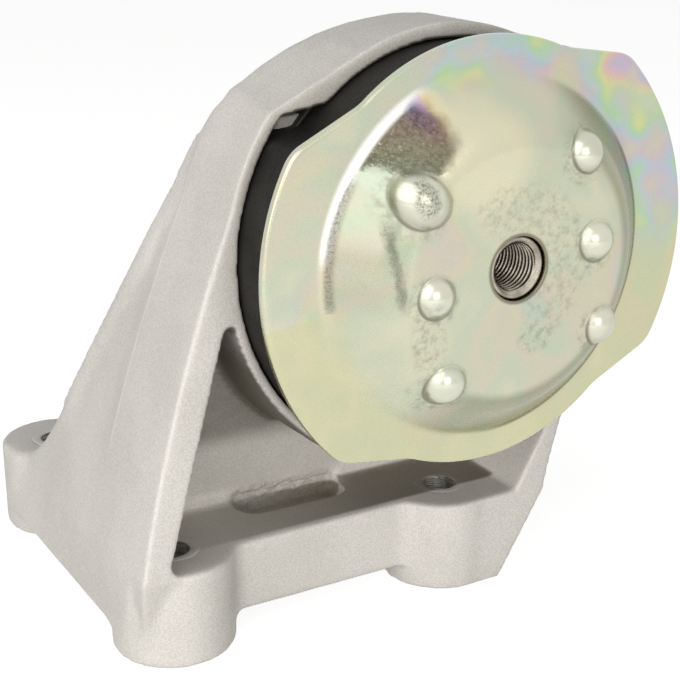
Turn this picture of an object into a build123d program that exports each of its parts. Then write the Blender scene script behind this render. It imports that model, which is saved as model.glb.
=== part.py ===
from build123d import *
from math import asin, cos, degrees, hypot, radians, sin, tan
import os

# An engine mount, in millimetres, +Z up. A die-cast bracket stands on four tapped bosses and holds
# a round rubber mount in its upper ring. The origin is at the middle of the four screw holes, on
# the plane of the boss ends. The front, with the domed plate, faces -Y.

# driving dimensions of the base
hole_span_x = 78.1
hole_span_y = 80.95
boss_radius = 15.3
boss_height = 24.3
base_hole_radius = 4.3
hole_chamfer = 0.6
deck_thickness = 8.3
skirt_bottom = 5.64
skirt_wall = 6.0
rail_setback = 6.13
rail_blend = 6.0

# driving dimensions of the mount's place and of the bracket's ring
mount_x = 28.6
mount_z = 96.3
mount_turn = 9.3
rim_setout = 14.88
seat_radius = 47.8
seat_depth = 20.0
ring_wall = 3.7
ear_pocket_radius = 55.24
ear_wall = 2.86
ear_pocket_depth = 12.0
ear_ledge = 40.0
cast_ear_slope = 17.0
right_ear_slope = 24.0
hood_depth = 24.4
hood_spread = 1.9
hood_swell = 2.5
can_radius = 40.0
tube_wall = 4.5
tube_rear = 43.4

# driving dimensions of the legs, the cheeks and the web
leg_width = 7.4
crook_depth = 10.0
cheek_wall = 8.0
cheek_turn = 2.0
web_foot_y = -22.3
web_lean = 17.5
web_thickness = 8.0
web_top = 72.0
web_bevel = 3.0
pocket_x = 0.8
pocket_length = 31.0
pocket_width = 10.9
pocket_depth = 5.0
pocket_corner = 5.5
rib_thickness = 9.0

# driving dimensions of the cap plate
flange_standoff = 17.7
plate_thickness = 2.2
flange_width = 5.0
ear_radius = 58.4
plate_ear_edge = 51.2
plate_ear_slope = 17.5
ear_corner_radius = 8.5
ear_blend_radius = 12.0
dome_height = 11.9
dome_base_radius = 45.6
dome_fold = 4.5
dome_shoulder = 12.5
dome_slope = 46.0
bump_column = 22.2
bump_row = 21.5
bump_radius = 4.7
bump_height = 2.9
corner_bump_at = (-23.6, 22.6)
corner_bump_radius = 7.2
corner_bump_height = 3.8
bump_sheet = 1.8

# driving dimensions of the threaded hub and of the parts inside
hub_radius = 7.5
hub_recess = 1.9
hub_bore_radius = 5.3
hub_bore_depth = 26.0
hub_chamfer = 1.0
hub_shoulder_radius = 20.0
hub_shoulder_length = 5.0
hub_core_radius = 14.0
hub_length = 31.0
sleeve_wall = 1.5
sleeve_front = -6.0
buffer_half_width = 35.5
buffer_gap = 0.35
buffer_crown = 1.2
rubber_crown = 12.0
channel_front = -28.0
channel_thickness = 9.0
channel_window = 10.0
decoupler_radius = 14.0
decoupler_thickness = 3.0
bellows_wall = 2.0
bellows_depth = 8.0
cover_wall = 1.2
cover_depth = 14.0
vent_radius = 3.0

hole_x = hole_span_x / 2
hole_y = hole_span_y / 2
deck_top = boss_height
deck_under = deck_top - deck_thickness
side_x = hole_x + boss_radius
rail_y = hole_y + rail_setback
rim_y = -(hole_y + rim_setout)
hood_back_y = rim_y + hood_depth
ring_radius = seat_radius + ring_wall
ear_outer_radius = ear_pocket_radius + ear_wall
tube_radius = can_radius + tube_wall
flange_radius = dome_base_radius + flange_width
plate_top = flange_standoff + dome_height

# The mount's own frame: x' and y' are turned with the plate, z' comes out of the front. In the
# axial plane the sketch's x is the radius and its y is the distance in front of the rim.
turn = radians(mount_turn)
across = (cos(turn), 0, sin(turn))
seat = Plane(origin=(mount_x, rim_y, mount_z), x_dir=across, z_dir=(0, -1, 0))
axial = Plane(origin=(mount_x, rim_y, mount_z), x_dir=across, z_dir=(sin(turn), 0, -cos(turn)))
mount_axis = Axis((mount_x, rim_y, mount_z), (0, -1, 0))
rim_plane = Plane.XZ.offset(-rim_y)


def on_ring(angle):
    """The point of the ring's ear radius at an angle, in the front view."""
    return (mount_x + ear_outer_radius * cos(radians(angle)), mount_z + ear_outer_radius * sin(radians(angle)))


# The left leg's outer edge, as seen from the front, is one long shallow arc from the deck up to the
# ring's ear. The right leg starts at the boss's foot and leans outwards.
left_foot = (-(side_x - 1.55), deck_top - 0.4)
left_bend = (-42.9, 66.4)
left_meet = on_ring(166)
left_crotch = (-30.4, 82.2)
left_inner = (left_foot[0] + leg_width - 0.6, deck_top)
crook_top = (left_inner[0] + 0.8, deck_top + 3.0)
crook_middle = (left_inner[0] + 1.5, deck_top + 1.1)
crook_end = (left_inner[0] + 3.4, deck_top)
right_toe = (hole_x + 10.1, 0)
right_bend = (63.0, 22.6)
right_mid = (70.6, 49.9)
right_meet = on_ring(-25)
right_crotch = (72.0, 58.0)
right_inner = (53.7, deck_top)
skirt_slope = (right_bend[0] - right_toe[0]) / right_bend[1]
right_skirt = (right_toe[0] + skirt_bottom * skirt_slope, skirt_bottom)

# the base and the front frame
with BuildPart() as casting:
    # the deck with its skirt, open below, and set back at the front and rear between the bosses
    with BuildSketch(Plane.XY.offset(skirt_bottom)) as footprint:
        Rectangle(2 * side_x, hole_span_y)
        Rectangle(hole_span_x, 2 * rail_y)
        with GridLocations(hole_span_x, hole_span_y, 2, 2):
            Circle(boss_radius)
        crooks = footprint.vertices().filter_by(lambda v: abs(abs(v.Y) - rail_y) < 0.01)
        fillet(crooks, rail_blend)
    extrude(amount=deck_top - skirt_bottom)
    with BuildSketch(Plane.XY.offset(skirt_bottom)):
        Rectangle(2 * (side_x - skirt_wall), 2 * (rail_y - skirt_wall))
    extrude(amount=deck_under - skirt_bottom, mode=Mode.SUBTRACT)

    # the two front boss columns
    with BuildSketch(Plane.XY):
        with Locations((-hole_x, -hole_y), (hole_x, -hole_y)):
            Circle(boss_radius)
    extrude(amount=boss_height)

    # the left side leans inwards, and more so at the rear, so that it runs on into the left cheek
    rear_foot_x = left_foot[0] + (hole_y - hood_back_y) * tan(radians(cheek_turn))
    for at_y, foot_x in ((rim_y, left_foot[0]), (hood_back_y, left_foot[0]), (hole_y, rear_foot_x)):
        with BuildSketch(Plane.XZ.offset(-at_y)):
            with BuildLine():
                Polyline((foot_x, deck_top), (-side_x, skirt_bottom), (-side_x - 1, skirt_bottom),
                         (-side_x - 1, deck_top), close=True)
            make_face()
    loft(ruled=True, mode=Mode.SUBTRACT)

    # the two rear boss columns
    with BuildSketch(Plane.XY):
        with Locations((-hole_x, hole_y), (hole_x, hole_y)):
            Circle(boss_radius)
    extrude(amount=boss_height)

    # under the left leg the square corner runs down into the boss
    with BuildSketch(Plane.XY.offset(left_foot[1])):
        with Locations((left_foot[0], rim_y)):
            Rectangle(11, 11, align=(Align.MIN, Align.MIN))
    with BuildSketch(Plane.XY.offset(skirt_bottom + 1)):
        with Locations((left_foot[0] + 1.9, rim_y + 5.25)):
            Rectangle(9, 9, align=(Align.MIN, Align.MIN))
    loft()

    # the hood: the front ring with its two ears, one solid disc until it is bored; the left ear's
    # upper edge spreads towards the back
    with BuildSketch(seat):
        Circle(ring_radius)
    extrude(amount=-hood_depth)
    for set_back, spread in ((0, 0), (hood_depth, hood_spread)):
        with BuildSketch(seat.offset(-set_back)) as eared:
            tilt = radians(cast_ear_slope)
            near_x = ring_radius * sin(tilt)
            near_y = ring_radius * cos(tilt)
            far_x = ear_outer_radius + 4
            far_y = near_y - (far_x - near_x) * tan(tilt)
            low_y = near_y - (far_x - near_x) * tan(radians(right_ear_slope))
            with BuildLine():
                Polyline((near_x, near_y), (far_x, low_y), (far_x, -far_y), (near_x, -near_y),
                         (-near_x, -near_y), (-far_x, -far_y), (-far_x, far_y + spread),
                         (-near_x, near_y + spread), close=True)
            make_face()
            Circle(ear_outer_radius + spread / 4, mode=Mode.INTERSECT)
            right_corner = eared.vertices().sort_by(lambda v: v.X + v.Y)[-1]
            fillet(right_corner, ear_corner_radius)
    loft(ruled=True)

    # between the ring's top and the left ear the hood swells out in an arc towards the back
    middle_x = near_x + 6.2
    end_x = near_x + 25.0
    middle_y = near_y - (middle_x - near_x) * tan(tilt)
    end_y = near_y - (end_x - near_x) * tan(tilt)
    for set_back, lift, swell, spread in ((1, -0.2, -0.2, -0.2), (hood_depth, 0.1, hood_swell, hood_spread / 2)):
        with BuildSketch(seat.offset(-set_back)):
            with BuildLine():
                shoulder = ThreePointArc((0, ring_radius + lift), (-middle_x, middle_y + swell),
                                         (-end_x, end_y + spread))
                Line(shoulder @ 1, shoulder @ 0)
            make_face()
    loft(ruled=True)

    # the two legs of the front frame
    with BuildSketch(rim_plane):
        with BuildLine():
            ThreePointArc(left_foot, left_bend, left_meet)
            Polyline(left_meet, (mount_x, mount_z), on_ring(193), left_crotch, left_inner,
                     (left_inner[0], left_foot[1]), left_foot)
        make_face()
        with BuildLine():
            ThreePointArc(right_bend, right_mid, right_meet)
            Polyline(right_meet, (mount_x, mount_z), on_ring(-40), right_crotch, right_inner,
                     (hole_x, deck_top), (hole_x, 0), right_toe, right_bend)
        make_face()
    extrude(amount=-hood_depth)

    # the window's lower left corner is rounded at the front
    with BuildSketch(rim_plane):
        with BuildLine():
            ThreePointArc(crook_top, crook_middle, crook_end)
            Polyline(crook_end, (crook_end[0], left_foot[1]), (left_inner[0], left_foot[1]), left_inner, crook_top)
        make_face()
    extrude(amount=-crook_depth)

# The side cheeks run back from the hood. Each is turned a little inwards there, and its rear edge
# slopes down from the top of the hood to the rear boss.
cheek_rear = [(-28.6, 127.6), (-24.2, 114.5), (-17.3, 99.5), (-7.4, 78.8), (3.3, 60.0), (13.8, 42.6),
              (22.5, 32.0), (hole_y - 6, deck_top)]
cheek_run = 2 * hole_y
inwards = radians(cheek_turn)

with BuildPart() as left_cheek:
    with BuildSketch(Plane.XZ.offset(-hood_back_y + 1)):
        with BuildLine():
            ThreePointArc(left_foot, left_bend, left_meet)
            ThreePointArc(left_meet, on_ring(155), on_ring(145))
            Polyline(on_ring(145), (-13.0, 124.6), (-20.5, 106.0), (-28.4, 84.0),
                     (left_inner[0] + cheek_wall - leg_width, deck_top), (left_inner[0], deck_under),
                     (left_foot[0], deck_under), left_foot)
        make_face()
    extrude(amount=cheek_run, dir=(sin(inwards), cos(inwards), 0))
    with BuildSketch(Plane.YZ):
        with BuildLine():
            Spline(*cheek_rear)
            Polyline(cheek_rear[-1], (hole_y, deck_top), (hole_y, 0), (rim_y, 0), (rim_y, 150),
                     (hood_back_y, 150), cheek_rear[0])
        make_face()
    extrude(amount=150, both=True, mode=Mode.INTERSECT)

with BuildPart() as right_cheek:
    with BuildSketch(Plane.XZ.offset(-hood_back_y + 1)):
        with BuildLine():
            ThreePointArc(right_bend, right_mid, right_meet)
            ThreePointArc(right_meet, on_ring(0), on_ring(28))
            Polyline(on_ring(28), (mount_x + 44.0, mount_z + 22.0), (mount_x + 49.5, mount_z),
                     right_crotch, right_inner,
                     (right_skirt[0] - skirt_wall, deck_under), (right_skirt[0] - skirt_wall, skirt_bottom),
                     right_skirt, right_bend)
        make_face()
    extrude(amount=cheek_run, dir=(-sin(inwards), cos(inwards), 0))
    with BuildSketch(Plane.YZ):
        with BuildLine():
            Spline(*cheek_rear)
            Polyline(cheek_rear[-1], (hole_y, deck_top), (hole_y, 0), (rim_y, 0), (rim_y, 150),
                     (hood_back_y, 150), cheek_rear[0])
        make_face()
    extrude(amount=150, both=True, mode=Mode.INTERSECT)

# the web leans forward between the cheeks, from a bevelled foot on the deck up to the ring
with BuildPart() as web:
    with BuildSketch(Plane.YZ.offset(-side_x)):
        lean = tan(radians(web_lean))
        foot_y = web_foot_y + (deck_top - deck_under) * lean
        head_y = foot_y - (web_top - deck_under) * lean
        bevel_y = web_foot_y - web_bevel * lean
        with BuildLine():
            Polyline((foot_y, deck_under), (web_foot_y - web_bevel, deck_under),
                     (web_foot_y - web_bevel, deck_top), (bevel_y, deck_top + web_bevel),
                     (head_y, web_top), (head_y + web_thickness, web_top),
                     (foot_y + web_thickness, deck_under), close=True)
        make_face()
    extrude(amount=3 * side_x)
    with BuildSketch(rim_plane):
        with BuildLine():
            Polyline((left_inner[0] - 2, deck_under), (left_crotch[0] - 3, left_crotch[1]),
                     (mount_x, mount_z), (right_crotch[0] + 4, right_crotch[1]),
                     (right_inner[0] + 3, deck_under), close=True)
        make_face()
    extrude(amount=-cheek_run, mode=Mode.INTERSECT)

# the pocket is open above, and takes the web's bevel away along its length
with BuildPart() as pocket:
    with BuildSketch(Plane.XY.offset(deck_top - pocket_depth)) as mouth:
        with Locations((pocket_x, web_foot_y - pocket_width)):
            Rectangle(pocket_length, 2 * pocket_width, align=(Align.CENTER, Align.MIN))
        fillet(mouth.vertices().sort_by(Axis.Y)[:2], pocket_corner)
    extrude(amount=pocket_depth + web_bevel)
    with BuildSketch(Plane.YZ.offset(-side_x)):
        floor_z = deck_top - pocket_depth
        rim_z = deck_top + web_bevel
        with BuildLine():
            Polyline((web_foot_y - pocket_width, floor_z), (web_foot_y + pocket_depth * lean, floor_z),
                     (web_foot_y - web_bevel * lean, rim_z), (web_foot_y - pocket_width, rim_z), close=True)
        make_face()
    extrude(amount=2 * side_x, mode=Mode.INTERSECT)

with BuildPart() as bracket:
    add(casting.part)
    add(left_cheek.part)
    add(right_cheek.part)
    add(web.part)

    # the tube behind the hood, round the mount's can, and the rib that carries it
    with BuildSketch(seat.offset(-hood_depth + 1)):
        Circle(tube_radius)
    extrude(amount=-(tube_rear - hood_depth + 1))
    with BuildSketch(Plane.YZ.offset(mount_x - rib_thickness / 2)):
        middle_y = web_foot_y + web_thickness / 2
        rib_top = mount_z - can_radius - tube_wall / 2
        tube_end = rim_y + tube_rear
        with BuildLine():
            Polyline((middle_y, deck_top - 1), (middle_y - (rib_top - deck_top) * lean, rib_top),
                     (tube_end, rib_top), (tube_end, deck_top - 1), close=True)
        make_face()
    extrude(amount=rib_thickness)

    # the seat in the ring: an eared pocket in front, a round seat, and the can's bore through
    with BuildSketch(seat):
        Circle(ear_pocket_radius)
        Rectangle(2 * ear_outer_radius, 2 * ear_ledge, mode=Mode.INTERSECT)
        Circle(seat_radius)
    extrude(amount=-ear_pocket_depth, mode=Mode.SUBTRACT)
    with BuildSketch(seat):
        Circle(seat_radius)
    extrude(amount=-seat_depth, mode=Mode.SUBTRACT)
    with BuildSketch(seat):
        Circle(can_radius)
    extrude(amount=-tube_rear, mode=Mode.SUBTRACT)

    # the pocket in the deck at the foot of the web, whose face runs on down into it
    add(pocket.part, mode=Mode.SUBTRACT)

    # four tapped holes through the bosses, plain at the thread's inner radius
    with BuildSketch(Plane.XY):
        with GridLocations(hole_span_x, hole_span_y, 2, 2):
            Circle(base_hole_radius)
    extrude(amount=deck_top, mode=Mode.SUBTRACT)
    hole_rims = bracket.edges().filter_by(GeomType.CIRCLE)
    hole_rims = hole_rims.filter_by(lambda e: abs(e.radius - base_hole_radius) < 0.001)
    chamfer(hole_rims.group_by(Axis.Z)[-1], hole_chamfer)

bracket.part.label = "bracket_casting"

# The cap plate is pressed from one sheet: a flat flange with two ears, a dome, and six bumps
# pressed outwards. The dome's meridian is a fold arc, a straight flank and a shoulder arc.
flank = radians(dome_slope)
flank_rise = dome_height - (dome_fold + dome_shoulder) * (1 - cos(flank))
dome_top_radius = dome_base_radius - (dome_fold + dome_shoulder) * sin(flank) - flank_rise / tan(flank)


def meridian(depth):
    """The six points of the dome's meridian on the surface that lies depth inside the outer one."""
    fold = dome_fold + depth
    shoulder = dome_shoulder - depth
    foot = flange_standoff - depth
    top = plate_top - depth
    return [(dome_base_radius, foot),
            (dome_base_radius - fold * sin(flank / 2), foot + fold * (1 - cos(flank / 2))),
            (dome_base_radius - fold * sin(flank), foot + fold * (1 - cos(flank))),
            (dome_top_radius + shoulder * sin(flank), top - shoulder * (1 - cos(flank))),
            (dome_top_radius + shoulder * sin(flank / 2), top - shoulder * (1 - cos(flank / 2))),
            (dome_top_radius, top)]


def bump_place(x, y):
    """The plane that touches the dome's outer surface at x, y of the mount's frame."""
    reach = hypot(x, y)
    slope = asin(max(0.0, reach - dome_top_radius) / dome_shoulder)
    height = plate_top - dome_shoulder * (1 - cos(slope))
    outward = Vector(x / reach * sin(slope), y / reach * sin(slope), cos(slope))
    return Plane(origin=seat.from_local_coords(Vector(x, y, height)),
                 z_dir=seat.from_local_coords(outward) - seat.origin)


outer_line = meridian(0)
inner_line = meridian(plate_thickness)
small_bumps = [(-bump_column, 0), (-bump_column, -bump_row), (bump_column, bump_row), (bump_column, 0),
               (bump_column, -bump_row)]
bumps = [(x, y, bump_radius, bump_height) for x, y in small_bumps]
bumps.append((corner_bump_at[0], corner_bump_at[1], corner_bump_radius, corner_bump_height))

with BuildPart() as plate:
    with BuildSketch(seat.offset(flange_standoff)) as outline:
        fall = tan(radians(plate_ear_slope))
        near_x = 15.0
        far_x = ear_radius + 4
        for side in (1, -1):
            with BuildLine():
                Polyline((side * near_x, plate_ear_edge - near_x * fall), (side * far_x, plate_ear_edge - far_x * fall),
                         (side * far_x, far_x * fall - plate_ear_edge), (side * near_x, near_x * fall - plate_ear_edge),
                         close=True)
            make_face()
        Circle(ear_radius, mode=Mode.INTERSECT)
        Circle(flange_radius)
        rounds = outline.vertices().group_by(lambda v: round(hypot(v.X, v.Y)))
        fillet(rounds[-1], ear_corner_radius)
        hollows = outline.vertices().group_by(lambda v: round(hypot(v.X, v.Y), 1))
        fillet(hollows[0], ear_blend_radius)
        Circle(dome_base_radius, mode=Mode.SUBTRACT)
    extrude(amount=-plate_thickness)
    with BuildSketch(axial):
        with BuildLine():
            Line((hub_radius, plate_top), outer_line[5])
            ThreePointArc(outer_line[5], outer_line[4], outer_line[3])
            Line(outer_line[3], outer_line[2])
            ThreePointArc(outer_line[2], outer_line[1], outer_line[0])
            Line(outer_line[0], inner_line[0])
            ThreePointArc(inner_line[0], inner_line[1], inner_line[2])
            Line(inner_line[2], inner_line[3])
            ThreePointArc(inner_line[3], inner_line[4], inner_line[5])
            Line(inner_line[5], (hub_radius, plate_top - plate_thickness))
            Line((hub_radius, plate_top - plate_thickness), (hub_radius, plate_top))
        make_face()
    revolve(axis=mount_axis)
    for x, y, radius, height in bumps:
        ball = (radius ** 2 + height ** 2) / (2 * height)
        sunk = ball - height
        base = degrees(asin((sunk - 0.8 * plate_thickness) / ball))
        with Locations(bump_place(x, y).offset(-sunk)):
            Sphere(ball, arc_size1=base, align=(Align.NONE, Align.NONE, Align.NONE))
            Sphere(ball - bump_sheet, mode=Mode.SUBTRACT)

plate.part.label = "cap_plate"

# The threaded hub: its nose fills the plate's centre hole, its shoulder lies behind the plate, and
# its core is bonded into the rubber.
nose_end = plate_top - hub_recess
shoulder_front = plate_top - plate_thickness
shoulder_back = shoulder_front - hub_shoulder_length
hub_end = nose_end - hub_length

with BuildPart() as hub:
    with BuildSketch(axial):
        with BuildLine():
            Polyline((0, hub_end), (0, nose_end - hub_bore_depth), (hub_bore_radius, nose_end - hub_bore_depth),
                     (hub_bore_radius, nose_end - hub_chamfer), (hub_bore_radius + hub_chamfer, nose_end),
                     (hub_radius, nose_end), (hub_radius, shoulder_front),
                     (hub_shoulder_radius, shoulder_front), (hub_shoulder_radius, shoulder_back),
                     (hub_core_radius, shoulder_back - 8), (hub_core_radius, hub_end), close=True)
        make_face()
    revolve(axis=mount_axis)

hub.part.label = "threaded_hub"

# The outer sleeve: a pressed can with a stepped rim, tight in the seat and in the bore.
can_inner = can_radius - sleeve_wall
seat_inner = seat_radius - sleeve_wall
step_front = sleeve_wall - seat_depth

with BuildPart() as sleeve:
    with BuildSketch(axial):
        with BuildLine():
            Polyline((seat_inner, sleeve_front), (seat_radius, sleeve_front), (seat_radius, -seat_depth),
                     (can_radius, -seat_depth), (can_radius, -tube_rear), (can_inner, -tube_rear),
                     (can_inner, step_front), (seat_inner, step_front), close=True)
        make_face()
    revolve(axis=mount_axis)

sleeve.part.label = "outer_sleeve"

# The rubber spring: a thick cone between the hub and the sleeve, with a ring over the sleeve's rim
# and a buffer block behind each ear of the plate.
rubber_rim = seat_radius - buffer_gap
buffer_radius = ear_pocket_radius - buffer_gap
buffer_top = flange_standoff - plate_thickness - buffer_crown

with BuildPart() as rubber:
    with BuildSketch(axial):
        with BuildLine():
            Polyline((hub_shoulder_radius, shoulder_back), (30, shoulder_back - 2.5), (40, 15.0),
                     (rubber_rim, rubber_crown), (rubber_rim, sleeve_front), (seat_inner, sleeve_front),
                     (seat_inner, step_front), (can_inner, step_front), (can_inner, channel_front + 3),
                     (30, channel_front + 7), (hub_core_radius, hub_end), (hub_core_radius, shoulder_back - 8),
                     close=True)
        make_face()
    revolve(axis=mount_axis)
    with BuildSketch(seat.offset(-ear_pocket_depth)):
        Circle(buffer_radius)
        Rectangle(2 * buffer_radius, 2 * buffer_half_width, mode=Mode.INTERSECT)
        Circle(seat_radius, mode=Mode.SUBTRACT)
    extrude(amount=ear_pocket_depth + buffer_top)
    with BuildSketch(seat.offset(sleeve_front)):
        Circle(seat_radius)
        Rectangle(2 * buffer_radius, 2 * buffer_half_width, mode=Mode.INTERSECT)
        Circle(rubber_rim - 3, mode=Mode.SUBTRACT)
    extrude(amount=buffer_top - sleeve_front)

rubber.part.label = "rubber_spring"

# The channel plate parts the two fluid chambers and holds the loose decoupler disc in a recess.
channel_back = channel_front - channel_thickness

with BuildPart() as channel:
    with BuildSketch(axial):
        with BuildLine():
            Polyline((channel_window, channel_front), (can_inner, channel_front), (can_inner, channel_back),
                     (decoupler_radius, channel_back), (decoupler_radius, channel_back + decoupler_thickness),
                     (channel_window, channel_back + decoupler_thickness), close=True)
        make_face()
    revolve(axis=mount_axis)

channel.part.label = "channel_plate"

with BuildPart() as decoupler:
    with BuildSketch(seat.offset(channel_back)):
        Circle(decoupler_radius)
    extrude(amount=decoupler_thickness)

decoupler.part.label = "decoupler_disc"

# The bellows closes the rear chamber. The rear cover is a cup pressed into the sleeve behind it.
cover_inner = can_inner - cover_wall
bellows_back = channel_back - bellows_depth
cover_back = channel_back - cover_depth

with BuildPart() as bellows:
    with BuildSketch(axial):
        with BuildLine():
            Polyline((decoupler_radius + 4, channel_back), (cover_inner, channel_back),
                     (cover_inner, channel_back - bellows_wall), (30, channel_back - bellows_wall),
                     (20, bellows_back), (0, bellows_back), (0, bellows_back + bellows_wall),
                     (18, bellows_back + bellows_wall), (26, channel_back - 0.5),
                     (decoupler_radius + 4, channel_back - 0.5), close=True)
        make_face()
    revolve(axis=mount_axis)

bellows.part.label = "bellows"

with BuildPart() as cover:
    with BuildSketch(axial):
        with BuildLine():
            Polyline((cover_inner, channel_back), (can_inner, channel_back), (can_inner, cover_back),
                     (vent_radius, cover_back), (vent_radius, cover_back + cover_wall),
                     (cover_inner, cover_back + cover_wall), close=True)
        make_face()
    revolve(axis=mount_axis)

cover.part.label = "rear_cover"

os.makedirs("parts", exist_ok=True)
export_step(bracket.part, "parts/bracket_casting.step")
export_step(plate.part, "parts/cap_plate.step")
export_step(hub.part, "parts/threaded_hub.step")
export_step(sleeve.part, "parts/outer_sleeve.step")
export_step(rubber.part, "parts/rubber_spring.step")
export_step(channel.part, "parts/channel_plate.step")
export_step(decoupler.part, "parts/decoupler_disc.step")
export_step(bellows.part, "parts/bellows.step")
export_step(cover.part, "parts/rear_cover.step")

for piece in (bracket, plate, hub, sleeve, rubber, channel, decoupler, bellows, cover):
    print(piece.part.label, len(piece.part.solids()), round(piece.part.volume))
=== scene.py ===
# %% [markdown]
# # A cast engine mount
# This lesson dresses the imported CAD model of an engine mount: a die-cast aluminium bracket that
# holds a round rubber mount behind a pressed, zinc-plated steel plate. The CAD model fixes every
# size. Blender adds what it leaves out: rounded cast edges, screw threads, grain and plating.

# %% Load the CAD model
import bpy
import numpy as np
from math import cos, hypot, radians, sin, sqrt, tan
from mathutils import Matrix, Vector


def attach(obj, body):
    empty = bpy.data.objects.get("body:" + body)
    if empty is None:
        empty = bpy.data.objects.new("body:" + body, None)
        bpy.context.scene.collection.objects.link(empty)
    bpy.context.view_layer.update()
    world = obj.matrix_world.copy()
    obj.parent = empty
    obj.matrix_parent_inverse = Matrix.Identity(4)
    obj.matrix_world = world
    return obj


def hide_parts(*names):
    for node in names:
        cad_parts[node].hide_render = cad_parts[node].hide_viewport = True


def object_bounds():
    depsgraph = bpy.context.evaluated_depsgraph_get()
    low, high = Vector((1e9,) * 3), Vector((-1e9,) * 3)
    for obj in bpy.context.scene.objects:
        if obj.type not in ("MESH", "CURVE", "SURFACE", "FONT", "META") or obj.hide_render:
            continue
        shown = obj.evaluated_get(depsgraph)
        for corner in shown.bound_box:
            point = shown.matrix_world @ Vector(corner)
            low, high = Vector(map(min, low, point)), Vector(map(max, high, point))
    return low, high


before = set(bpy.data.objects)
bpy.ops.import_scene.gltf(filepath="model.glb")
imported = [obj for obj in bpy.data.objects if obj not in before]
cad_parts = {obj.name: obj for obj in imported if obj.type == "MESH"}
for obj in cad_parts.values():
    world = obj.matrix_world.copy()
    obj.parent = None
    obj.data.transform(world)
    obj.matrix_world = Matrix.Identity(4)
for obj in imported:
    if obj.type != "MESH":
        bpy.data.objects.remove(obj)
cad_low, cad_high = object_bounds()
scene = bpy.context.scene
print("nodes:", ", ".join(sorted(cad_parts)))

# %% [markdown]
# The camera stands where the photographer stood: to the left of the mount and a little above it.
# Its place and lens were fitted to points of the photograph, in millimetres of the CAD model. The
# view axis is given by an azimuth and an elevation, and the picture is turned by a tiny roll.

# %% Camera
mm = 0.001
camera_place = np.array([-163.79, -334.80, 186.58]) * mm
camera_azimuth, camera_elevation, camera_roll = radians(-30.30), radians(18.92), radians(0.16)


def view_axes(azimuth, elevation, roll):
    """Right, up and backward directions of a camera, turned by roll about the view axis."""
    back = np.array([sin(azimuth) * cos(elevation), -cos(azimuth) * cos(elevation), sin(elevation)])
    right = np.array([cos(azimuth), sin(azimuth), 0.0])
    up = np.cross(back, right)
    return cos(roll) * right + sin(roll) * up, cos(roll) * up - sin(roll) * right, back


def place_matrix(columns, place):
    """The 4 x 4 matrix whose columns are three directions and a place."""
    matrix = np.eye(4)
    matrix[:3, :3] = np.column_stack(columns)
    matrix[:3, 3] = place
    return matrix.tolist()


camera_data = bpy.data.cameras.new("photo_camera")
camera_data.lens = 76.88
camera_data.sensor_width = 36.0
camera_data.clip_start = 0.02
camera = bpy.data.objects.new("photo_camera", camera_data)
scene.collection.objects.link(camera)
camera_axes = view_axes(camera_azimuth, camera_elevation, camera_roll)
camera.matrix_world = Matrix(place_matrix(camera_axes, camera_place))
scene.camera = camera
print("camera at", np.round(camera_place, 3), "m")

# %% [markdown]
# A page of a parts catalogue is lit by big soft lamps in a white room. One broad panel stands high at
# the left and lights the side of the bracket. A low, wide panel behind the camera lights the front
# faces. Reflections leave it out, so it draws no stripe on the plate. A small square lamp in front
# gives each bump its bright point. The world fills the rest: it is plain white for the camera and for
# reflections, so polished metal shows a white room, and it is dim for all other light.

# %% Lamps and world
scene.view_settings.view_transform = "Standard"
aim = np.array([0.015, -0.03, 0.075])
dim_world, white_world = 0.2, 1.0


def soft_panel(name, azimuth, elevation, distance, width, height, power, colour):
    """An area lamp at a distance from the aim point, in the direction azimuth, elevation."""
    data = bpy.data.lights.new(name, "AREA")
    data.shape = "RECTANGLE"
    data.size = width
    data.size_y = height
    data.energy = power
    data.color = colour
    axes = view_axes(radians(azimuth), radians(elevation), 0.0)
    lamp = bpy.data.objects.new(name, data)
    scene.collection.objects.link(lamp)
    lamp.matrix_world = Matrix(place_matrix(axes, aim + distance * axes[2]))
    return lamp


soft_panel("left_panel", -74, 34, 1.0, 1.5, 1.3, 5.8, (1.0, 1.0, 0.985))
front_panel = soft_panel("front_panel", -32, 2, 0.65, 1.1, 0.3, 4.7, (1.0, 0.965, 0.93))
front_panel.visible_glossy = False
soft_panel("small_key", -8, 16, 1.0, 0.45, 0.45, 1.1, (1.0, 0.99, 0.96))

world = bpy.data.worlds.new("white_room")
scene.world = world
world.use_nodes = True
tree = world.node_tree
tree.nodes.clear()
rays = tree.nodes.new("ShaderNodeLightPath")
shown = tree.nodes.new("ShaderNodeMath")
shown.operation = "ADD"
shown_all = tree.nodes.new("ShaderNodeMath")
shown_all.operation = "ADD"
shown_all.use_clamp = True
strength = tree.nodes.new("ShaderNodeMapRange")
background = tree.nodes.new("ShaderNodeBackground")
world_out = tree.nodes.new("ShaderNodeOutputWorld")
tree.links.new(rays.outputs["Is Camera Ray"], shown.inputs[0])
tree.links.new(rays.outputs["Is Glossy Ray"], shown.inputs[1])
tree.links.new(shown.outputs[0], shown_all.inputs[0])
tree.links.new(rays.outputs["Is Transmission Ray"], shown_all.inputs[1])
tree.links.new(shown_all.outputs[0], strength.inputs["Value"])
strength.inputs["To Min"].default_value = dim_world
strength.inputs["To Max"].default_value = white_world
background.inputs["Color"].default_value = (1.0, 0.995, 0.985, 1.0)
tree.links.new(strength.outputs["Result"], background.inputs["Strength"])
tree.links.new(background.outputs["Background"], world_out.inputs["Surface"])
print("lamps:", len(bpy.data.lights), "and a white world")

# %% [markdown]
# Every pattern below is a small network of shader nodes. The first helper makes a node and sets
# its sockets in one line. A node group packs an effect that several finishes share, with named
# inputs and outputs, so that each finish can place it with its own values.

# %% Helpers for shader nodes


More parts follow.
